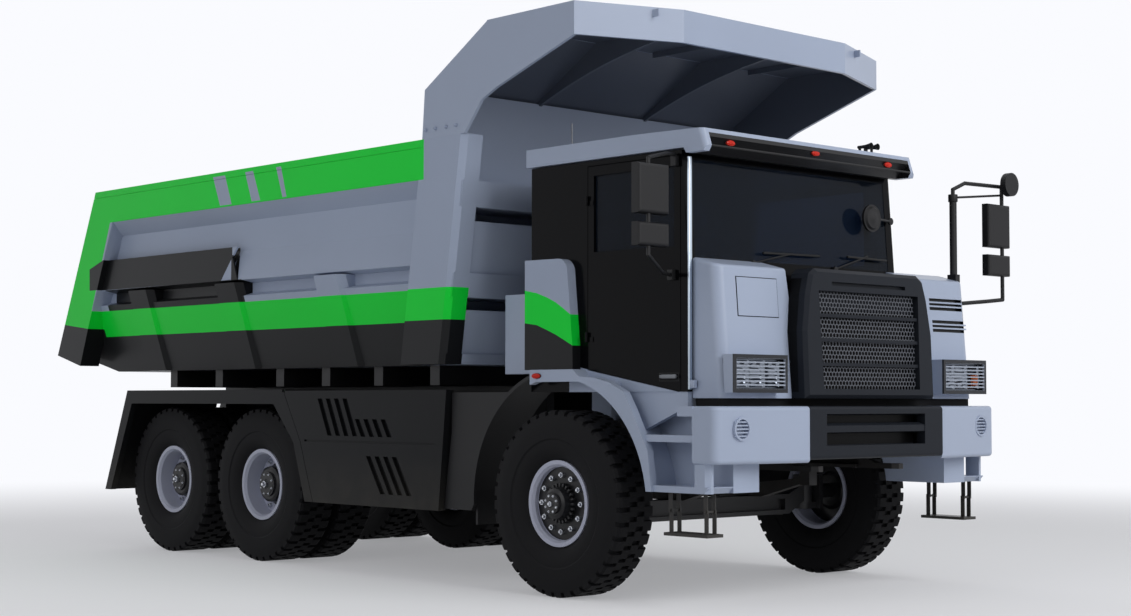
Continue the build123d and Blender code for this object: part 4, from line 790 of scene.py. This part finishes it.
def ribbedLens(xs, ys, zs, ribs, facing, finish):
    # a lens with flat ribs across it, which looks forwards where facing is -1 and rearwards where it is 1
    piece = boxAt(xs, ys, zs)
    openEdit(piece)
    pitch = (zs[1] - zs[0]) / ribs
    sliceAt((0, 0, 1), [place(0, 0, zs[0] + step * pitch) for step in range(1, ribs)])
    pickFacing(piece, (0, facing, 0))
    bpy.ops.mesh.inset(thickness=ribbed["groove"], use_individual=True)
    bpy.ops.transform.translate(value=(0, facing * ribbed["lift"], 0))
    closeEdit()
    return coat(piece, finish)


reflectorMaster = makeReflector()
dress(copyOf(reflectorMaster, Matrix.Scale(-1, 4, (1, 0, 0))), "lampReflector_right", "chassis")
leftLamp = [copyOf(reflectorMaster, Matrix()),
            ribbedLens(lamp["amberX"], lamp["amberY"], lamp["amberZ"], lamp["ribs"], -1, "amberLens")]
dress(joinAll(leftLamp), "lampReflector_left", "chassis")
remove(reflectorMaster)
print("lamps ready")


# Marker lamps

marker = {
    "half": 0.042, "flat": 0.45, "sides": 24,                        # half its length, and its height's share
    "footShare": 1.12, "footDeep": 0.008, "footSteps": [(0.004, 0, 1)],
    "lensDeep": 0.012, "lensSteps": [(0.004, 0.006, 0.8), (0.005, 0.003, 0.6)],
    "spots": {"visorRight": ((-1.238, -1.352, 3.235), (0, -1, 0)),
              "visorMiddle": ((-0.312, -1.352, 3.249), (0, -1, 0)),
              "visorLeft": ((0.551, -1.352, 3.239), (0, -1, 0)),
              "fenderRight": ((-1.622, 0.218, 1.619), (-1, 0, 0)),
              "fenderLeft": ((1.622, 0.218, 1.619), (1, 0, 0))},     # its foot's middle, and where it looks
}


def makeMarker():
    # an oval lens on its rubber foot, facing forwards
    half, footDeep, lensDeep = marker["half"], marker["footDeep"], marker["lensDeep"]
    foot = newDrum((0, -footDeep / 2, 0), (0, -1, 0), half * marker["footShare"], footDeep, marker["sides"])
    lens = newDrum((0, -footDeep - lensDeep / 2, 0), (0, -1, 0), half, lensDeep, marker["sides"])
    for piece, steps in ((foot, marker["footSteps"]), (lens, marker["lensSteps"])):
        openEdit(piece)
        bpy.ops.transform.resize(value=(1, 1, marker["flat"]), center_override=(0, 0, 0))
        closeEdit()
        stepped(piece, (0, -1, 0), steps)
    return joinAll([coat(lens, "redLens"), coat(foot, "rubber")])


markerMaster = makeMarker()
for name, (spot, facing) in marker["spots"].items():
    turn = Vector(facing).to_track_quat("-Y", "Z").to_matrix().to_4x4()
    dress(copyOf(markerMaster, Matrix.Translation(place(*spot)) @ turn), "marker_" + name, "chassis",
          smooth=50)
remove(markerMaster)
print("marker lamps ready")


# Wipers, windscreen mirror, pillar strip and door handle

wiper = {
    "arm": 0.008, "knob": 0.022, "knobDeep": 0.03, "knobBack": 0.004, "knobSides": 16, "knobEdge": 0.004,
    "bars": [(0.010, 0.006), (0.005, 0.014)],      # blade and rubber: radius, and how far behind the wrist
    # foot, wrist, and x and z of the blade's two ends
    "sets": [((-0.825, -1.212, 2.425), (-0.420, -1.232, 2.512), (-0.738, 2.502), (-0.103, 2.512)),
             ((0.101, -1.212, 2.425), (0.470, -1.232, 2.540), (0.229, 2.525), (0.706, 2.519))],
}


def makeWiper(foot, wrist, bladeStart, bladeEnd):
    x, y, z = foot
    arm = newRod(place(x, y, z), place(*wrist), wiper["arm"])
    knob = newDrum(place(x, y + wiper["knobBack"], z), (0, -1, 0), wiper["knob"], wiper["knobDeep"],
                   wiper["knobSides"])
    pieces = [arm, softened(knob, wiper["knobEdge"])]
    for radius, back in wiper["bars"]:
        start, end = [place(endX, wrist[1] + back, endZ) for endX, endZ in (bladeStart, bladeEnd)]
        pieces.append(newRod(start, end, radius, 6))
    return joinAll([coat(piece, "plasticBlack") for piece in pieces])


for number, spots in enumerate(wiper["sets"], 1):
    dress(makeWiper(*spots), "wiper_" + str(number), "chassis")

roundMirror = {
    "centre": (0.479, -1.262, 2.832), "radius": 0.105, "deep": 0.02, "sides": 40,
    "steps": [(0.015, 0.014, 0.85), (0.03, 0.008, 0.6)],
    "post": (0.790, -1.206, 2.832), "arm": 0.009,
    "foot": 0.028, "footDeep": 0.018, "footSides": 20, "footEdge": 0.003,
}


def makeRoundMirror():
    # seen from its back, a shallow dome on an arm
    centre, post = place(*roundMirror["centre"]), place(*roundMirror["post"])
    head = newDrum(centre, (0, -1, 0), roundMirror["radius"], roundMirror["deep"], roundMirror["sides"])
    stepped(head, (0, -1, 0), roundMirror["steps"], centre)
    arm = newRod(centre, post, roundMirror["arm"])
    foot = newDrum(post, (0, -1, 0), roundMirror["foot"], roundMirror["footDeep"], roundMirror["footSides"])
    softened(foot, roundMirror["footEdge"])
    return joinAll([coat(piece, "plasticBlack") for piece in (head, arm, foot)])


dress(makeRoundMirror(), "screenMirror", "chassis")

stripRim, stripEdge = 0.003, 0.004
strips = [((-1.499, -1.470), (-1.216, -1.196), (1.515, 3.135), "satinSteel"),      # along the pillar
          ((-1.497, -1.462), (-1.252, -1.214), (1.525, 1.580), "paintGrey")]       # the latch at its foot


def makeStrip(xs, ys, zs, finish):
    piece = stepped(boxAt(xs, ys, zs), (0, 0, 1), [(stripRim, 0, 1)], both=True)
    return coat(softened(piece, stripEdge), finish)


dress(joinAll([makeStrip(*strip) for strip in strips]), "pillarStrip", "chassis")

handle = {
    "padX": (-1.503, -1.494), "padY": (-1.115, -0.925), "padZ": (1.572, 1.632), "recess": (0.006, -0.004, 1),
    "leverX": (-1.527, -1.512), "leverY": (-1.105, -0.975), "leverZ": (1.592, 1.620),
    "tip": 0.03, "tipScale": (0.8, 1, 0.7), "postRear": -1.035, "postRim": 0.006, "post": 0.016,
    "leverEdge": 0.003, "padEdge": 0.0015,
}


def makeDoorHandle():
    # a lever on a post, over a sunk pad
    pad = stepped(boxAt(handle["padX"], handle["padY"], handle["padZ"]), (-1, 0, 0), [handle["recess"]])
    lever = boxAt(handle["leverX"], handle["leverY"], handle["leverZ"])
    openEdit(lever)
    pickFacing(lever, (0, 1, 0))
    end = place(handle["leverX"][1], handle["leverY"][1], sum(handle["leverZ"]) / 2)
    pull((0, handle["tip"], 0), handle["tipScale"], end)
    pickFaces(lever, lambda spot, normal: normal.x > facingShare and spot.y < axleY + handle["postRear"])
    bpy.ops.mesh.inset(thickness=handle["postRim"])
    pull((handle["post"], 0, 0))
    closeEdit()
    return joinAll([coat(softened(lever, handle["leverEdge"]), "dullSteel"),
                    coat(softened(pad, handle["padEdge"]), "plasticBlack")])


dress(makeDoorHandle(), "doorHandle", "door")
print("cab trim ready")


# Horns, antenna and mirror glass

horn = {
    "x": (0.345, 0.425), "rear": -1.26, "z": 3.366, "radius": 0.012, "sides": 24, "stub": 0.03, "long": 0.095,
    "flare": [(0.50, 1.2), (0.25, 1.3), (0.25, 1.35)],               # share of its length, and scale
    "mouth": (0.003, -0.03, 0.4),
    "postHalf": 0.008, "postZ": (3.331, 3.358), "postGap": 0.05, "postEdge": 0.002,
}


def makeHorn(x):
    # a short trumpet on two posts
    rear, half = horn["rear"], horn["postHalf"]
    tube = newDrum(place(x, rear, horn["z"]), (0, -1, 0), horn["radius"], horn["stub"], horn["sides"])
    steps = [(0, horn["long"] * share, scale) for share, scale in horn["flare"]] + [horn["mouth"]]
    pieces = [stepped(tube, (0, -1, 0), steps, place(x, 0, horn["z"]))]
    for y in (rear, rear - horn["postGap"]):
        post = boxAt((x - half, x + half), (y - half, y + half), horn["postZ"])
        pieces.append(softened(post, horn["postEdge"]))
    return [coat(piece, "plasticBlack") for piece in pieces]


dress(joinAll([piece for x in horn["x"] for piece in makeHorn(x)]), "roofHorns", "chassis")

antenna = {
    "foot": (-1.10, 0.40, 3.335), "radius": 0.026, "sides": 20, "deep": 0.028, "lift": 0.012,
    "edge": 0.004, "cone": (0.010, 0.03, 0.6),
    "whip": 0.006, "whipSides": 8, "whipFrom": 0.04, "height": 0.245,
}


def makeAntenna():
    x, y, z = antenna["foot"]
    foot = newDrum(place(x, y, z + antenna["lift"]), (0, 0, 1), antenna["radius"], antenna["deep"],
                   antenna["sides"])
    stepped(softened(foot, antenna["edge"]), (0, 0, 1), [antenna["cone"]], place(x, y, z))
    whipFoot, whipEnd = [place(x, y, z + antenna[key]) for key in ("whipFrom", "height")]
    whip = newRod(whipFoot, whipEnd, antenna["whip"], antenna["whipSides"])
    return joinAll([coat(whip, "dullSteel"), coat(foot, "rubber")])


dress(makeAntenna(), "antenna", "chassis")

mirrorPole = {
    "x": 1.420, "y": -1.345, "low": 2.375, "high": 3.030, "radius": 0.029, "sides": 24,
    "flange": [(0, 0, 1.5), (0, -0.012, 1)],
    "collar": 0.060, "collarShare": 1.3, "collarLift": 0.02, "collarEdge": 0.004,
    "strut": 0.009, "strutLift": 0.025, "strutEnd": (1.985, -1.410, 3.110),
}


def makeMirrorPole():
    # the left mirror's pole: a sleeve with a flange at its foot, a collar, and a strut to the mirror's arm
    x, y, low, high, radius, sides = [mirrorPole[key] for key in ("x", "y", "low", "high", "radius", "sides")]
    sleeve = newDrum(place(x, y, (low + high) / 2), (0, 0, 1), radius, high - low, sides)
    stepped(sleeve, (0, 0, -1), mirrorPole["flange"], place(x, y, low))
    collar = newDrum(place(x, y, high + mirrorPole["collarLift"]), (0, 0, 1),
                     radius * mirrorPole["collarShare"], mirrorPole["collar"], sides)
    softened(collar, mirrorPole["collarEdge"])
    strutFoot = place(x, y, high + mirrorPole["strutLift"])
    strut = newRod(strutFoot, place(*mirrorPole["strutEnd"]), mirrorPole["strut"])
    return joinAll([coat(piece, "plasticBlack") for piece in (sleeve, collar, strut)])


dress(makeMirrorPole(), "mirrorPole", "chassis")

mirrorPlate = {
    "x": (1.798, 2.062), "y": (-0.002, 0.004), "dish": (0.006, -0.002, 1),
    "right": {"body": "door", "sign": -1, "y": -1.230, "z": [(2.720, 3.020), (2.498, 2.622)]},
    "left": {"body": "chassis", "sign": 1, "y": -1.370, "z": [(2.700, 3.010), (2.468, 2.602)]},
}


def makeMirrorPlate(sign, y, zs):
    xs = sorted(sign * x for x in mirrorPlate["x"])
    piece = boxAt(xs, [y + part for part in mirrorPlate["y"]], zs)
    return coat(stepped(piece, (0, 1, 0), [mirrorPlate["dish"]]), "reflector")


for side in ("right", "left"):
    own = mirrorPlate[side]
    dress(joinAll([makeMirrorPlate(own["sign"], own["y"], zs) for zs in own["z"]]), "mirrorGlass_" + side,
          own["body"])


# Tail lamps and canopy bolts

tailLamp = {"x": (0.507, 0.608), "y": (6.398, 6.410), "z": (0.995, 1.095), "ribs": 5}
tailLenses = []
for side, sign in bothSides:
    xs = sorted(sign * x for x in tailLamp["x"])
    tailLenses.append(ribbedLens(xs, tailLamp["y"], tailLamp["z"], tailLamp["ribs"], 1, "redLens"))
dress(joinAll(tailLenses), "tailLenses", "chassis")

canopyBolt = {"size": 0.014, "x": 1.768, "y": (1.37, 1.25, 1.12, 1.00), "z": 3.563}
boltMaster = coat(makeNut(canopyBolt["size"]), "paintGrey")
bolts = [copyOf(boltMaster, facingOut(sign, sign * canopyBolt["x"], y, canopyBolt["z"]))
         for side, sign in bothSides for y in canopyBolt["y"]]
remove(boltMaster)
dress(joinAll(bolts), "canopyBolts", "bed")


# Hood seal, hatch border and front wall panels

seal = {"half": 1.435, "front": -1.462, "rear": -1.215, "z": (1.395, 1.462), "thick": 0.02}


def makeHoodSeal():
    # the dark lip under the hood that closes the gap above the bumper
    half, front, thick = seal["half"], seal["front"], seal["thick"]
    strip = boxAt((-half, half), (front, front + thick), seal["z"])
    openEdit(strip)
    sliceAt((1, 0, 0), [(thick - half, 0, 0), (half - thick, 0, 0)])
    pickFaces(strip, lambda spot, normal: normal.y > facingShare and abs(spot.x) > half - thick)
    pull((0, seal["rear"] - front - thick, 0))
    closeEdit()
    return coat(strip, "rubber")


dress(makeHoodSeal(), "hoodSeal", "chassis")

hatch = {
    "x": (-1.261, -0.839), "z": (2.028, 2.296), "border": 0.006, "proud": 0.003, "edge": 0.002,
    "faceLow": -1.500, "faceHigh": -1.425, "hoodLow": 1.455, "hoodHigh": 2.377,
}


def hoodFace(z):
    share = (z - hatch["hoodLow"]) / (hatch["hoodHigh"] - hatch["hoodLow"])
    return hatch["faceLow"] + share * (hatch["faceHigh"] - hatch["faceLow"])


def makeHatchBorder():
    # a rubber bead round the hatch, as thin as the hatch stands proud
    border, proud = hatch["border"], hatch["proud"]
    xs = (hatch["x"][0] - border, hatch["x"][1] + border)
    zs = (hatch["z"][0] - border, hatch["z"][1] + border)
    foot, top = hoodFace(zs[0]), hoodFace(zs[1])
    piece = leaningBox(xs, (foot - proud, foot + proud), zs, top - foot)
    return coat(softened(piece, hatch["edge"]), "rubber")


dress(makeHatchBorder(), "hatchBorder", "chassis")

wallPanel = {
    "half": 1.574, "rows": [(2.425, 2.835), (1.795, 2.145)], "thick": 0.035, "inset": 0.025, "edge": 0.006,
    "foot": 1.163, "footZ": 1.720, "lean": 0.148,
}


def wallFace(z):
    return wallPanel["foot"] - (z - wallPanel["footZ"]) * wallPanel["lean"] + wallPanel["inset"]


def makeWallPanel(zs):
    # a pressed sheet between two cross beams of the bed's front wall, open in a slot along its top
    half, foot, top = wallPanel["half"], wallFace(zs[0]), wallFace(zs[1])
    piece = leaningBox((-half, half), (foot, foot + wallPanel["thick"]), zs, top - foot)
    return coat(softened(piece, wallPanel["edge"]), "paintGrey")


dress(joinAll([makeWallPanel(zs) for zs in wallPanel["rows"]]), "frontWallPanels", "bed")
print("outside trim ready")


# Seats

seat = {
    "x": (-0.95, 0.25), "half": 0.245, "y": (-0.42, 0.07), "z": (1.955, 2.095),
    "backY": (0.055, 0.155), "backZ": (2.10, 2.75), "backHalf": 0.235, "backLean": 0.130, "backTop": 0.86,
    "standHalf": 0.18, "standY": (-0.33, 0.03), "standZ": (1.565, 1.96), "standRim": 0.04, "standEdge": 0.01,
    "crown": 0.35, "levels": 2,
}


def crowned(piece):
    # a cushion: the edges drawn in and the faces left full
    openEdit(piece)
    bpy.ops.mesh.subdivide(number_cuts=2, smoothness=seat["crown"])
    closeEdit()
    return coat(applyModifier(piece, "SUBSURF", {"levels": seat["levels"], "render_levels": seat["levels"]}),
                "cloth")


def makeSeatPad(x):
    half, backHalf = seat["half"], seat["backHalf"]
    cushion = boxAt((x - half, x + half), seat["y"], seat["z"])
    back = leaningBox((x - backHalf, x + backHalf), seat["backY"], seat["backZ"], seat["backLean"],
                      seat["backTop"])
    return joinAll([crowned(cushion), crowned(back)])


def makeSeatStand(x):
    half = seat["standHalf"]
    stand = boxAt((x - half, x + half), seat["standY"], seat["standZ"])
    stepped(stand, (1, 0, 0), [(seat["standRim"], 0, 1)], both=True)
    return coat(softened(stand, seat["standEdge"]), "plasticBlack")


for side, x in zip(("right", "left"), seat["x"]):
    pad = makeSeatPad(x)
    dress(pad, "seatPad_" + side, "chassis", ["seats"], smooth=60)
    dress(makeSeatStand(x), "seatStand_" + side, "chassis")
print("seats ready")


# Floor, light and camera

seenRays = ["Is Camera Ray", "Is Glossy Ray", "Is Transmission Ray"]     # rays that see the white backdrop
stage = {"floor": 400.0, "fadeFrom": 7.0, "fadeTo": 19.0, "paleShare": 0.3, "fill": 0.25}
lights = [("keyLamp", (1.0, -18.0, 10.0), 1820, 13.0), ("sideLamp", (-18.0, -3.0, 9.0), 620, 14.0),
          ("backLamp", (3.0, 17.0, 14.0), 700, 14.0)]                    # place, power in W, size in m
lightsAim = (0, 0, 1.8)


def seenShare(tree):
    # 1 for a ray that sees the backdrop, 0 for one that only carries light
    path = addNode(tree, "LightPath")
    return joined(tree, "MAXIMUM", [path.outputs[ray] for ray in seenRays])


def makeStage():
    # a pale floor that fades into the white backdrop, well clear of the truck's own shadow
    bpy.ops.mesh.primitive_plane_add(size=stage["floor"], location=(0, 0, 0))
    floor = bpy.context.object
    floor.name = "floor"
    material, tree, shader = newMaterial("paleFloor", {"Roughness": 0.85,
                                                       "Base Color": hexLinear(colours["floorPale"])})
    coords = addNode(tree, "TexCoord").outputs["Object"]
    away = addNode(tree, "VectorMath", {"operation": "LENGTH"}, {0: coords}).outputs["Value"]
    fade = addNode(tree, "MapRange", {"interpolation_type": "SMOOTHSTEP", "From Min": stage["fadeFrom"],
                                      "From Max": stage["fadeTo"], "To Min": stage["paleShare"]},
                   {"Value": away}).outputs[0]
    share = joined(tree, "MULTIPLY", [fade, seenShare(tree)])
    backdrop = addNode(tree, "Emission", {"Color": hexLinear(colours["backdropWhite"]), "Strength": 1.0})
    mixed = addNode(tree, "MixShader", {}, {0: share, 1: shader.outputs[0], 2: backdrop.outputs[0]})
    tree.links.new(mixed.outputs[0], tree.nodes["Material Output"].inputs["Surface"])
    floor.data.materials.append(material)


def aimedLight(name, spot, power, size):
    bpy.ops.object.light_add(type="AREA", location=spot)
    light = bpy.context.object
    light.name = name
    light.data.energy = power
    light.data.shape = "DISK"
    light.data.size = size
    light.rotation_euler = (Vector(lightsAim) - Vector(spot)).to_track_quat("-Z", "Y").to_euler()


def makeWorld():
    # a white room that fills the shadows at a quarter of its brightness
    world = bpy.data.worlds.new("softRoom")
    bpy.context.scene.world = world
    world.use_nodes = True
    tree = world.node_tree
    background = tree.nodes["Background"]
    background.inputs["Color"].default_value = hexLinear(colours["backdropWhite"])
    strength = addNode(tree, "MapRange", {"To Min": stage["fill"], "To Max": 1.0}, {"Value": seenShare(tree)})
    tree.links.new(strength.outputs[0], background.inputs["Strength"])


photo = {
    "spot": (-10.904, -10.066, 1.436), "forward": (0.6805, 0.7315, 0.0497), "roll": 0.08,
    "width": 1131, "focalPixels": 1864.0, "sensor": 36.0, "reach": 400,
}


def makeCamera():
    data = bpy.data.cameras.new("photoCamera")
    camera = bpy.data.objects.new("photoCamera", data)
    bpy.context.scene.collection.objects.link(camera)
    data.sensor_fit = "HORIZONTAL"
    data.sensor_width = photo["sensor"]
    data.lens = photo["focalPixels"] / photo["width"] * photo["sensor"]
    data.clip_end = photo["reach"]
    turn = Vector(photo["forward"]).to_track_quat("-Z", "Y").to_matrix().to_4x4()
    roll = Matrix.Rotation(radians(photo["roll"]), 4, "Z")
    camera.matrix_world = Matrix.Translation(place(*photo["spot"])) @ turn @ roll
    bpy.context.scene.camera = camera


makeStage()
for light in lights:
    aimedLight(*light)
makeWorld()
makeCamera()
bpy.context.scene.view_settings.view_transform = "Standard"
print("stage, light and camera ready")
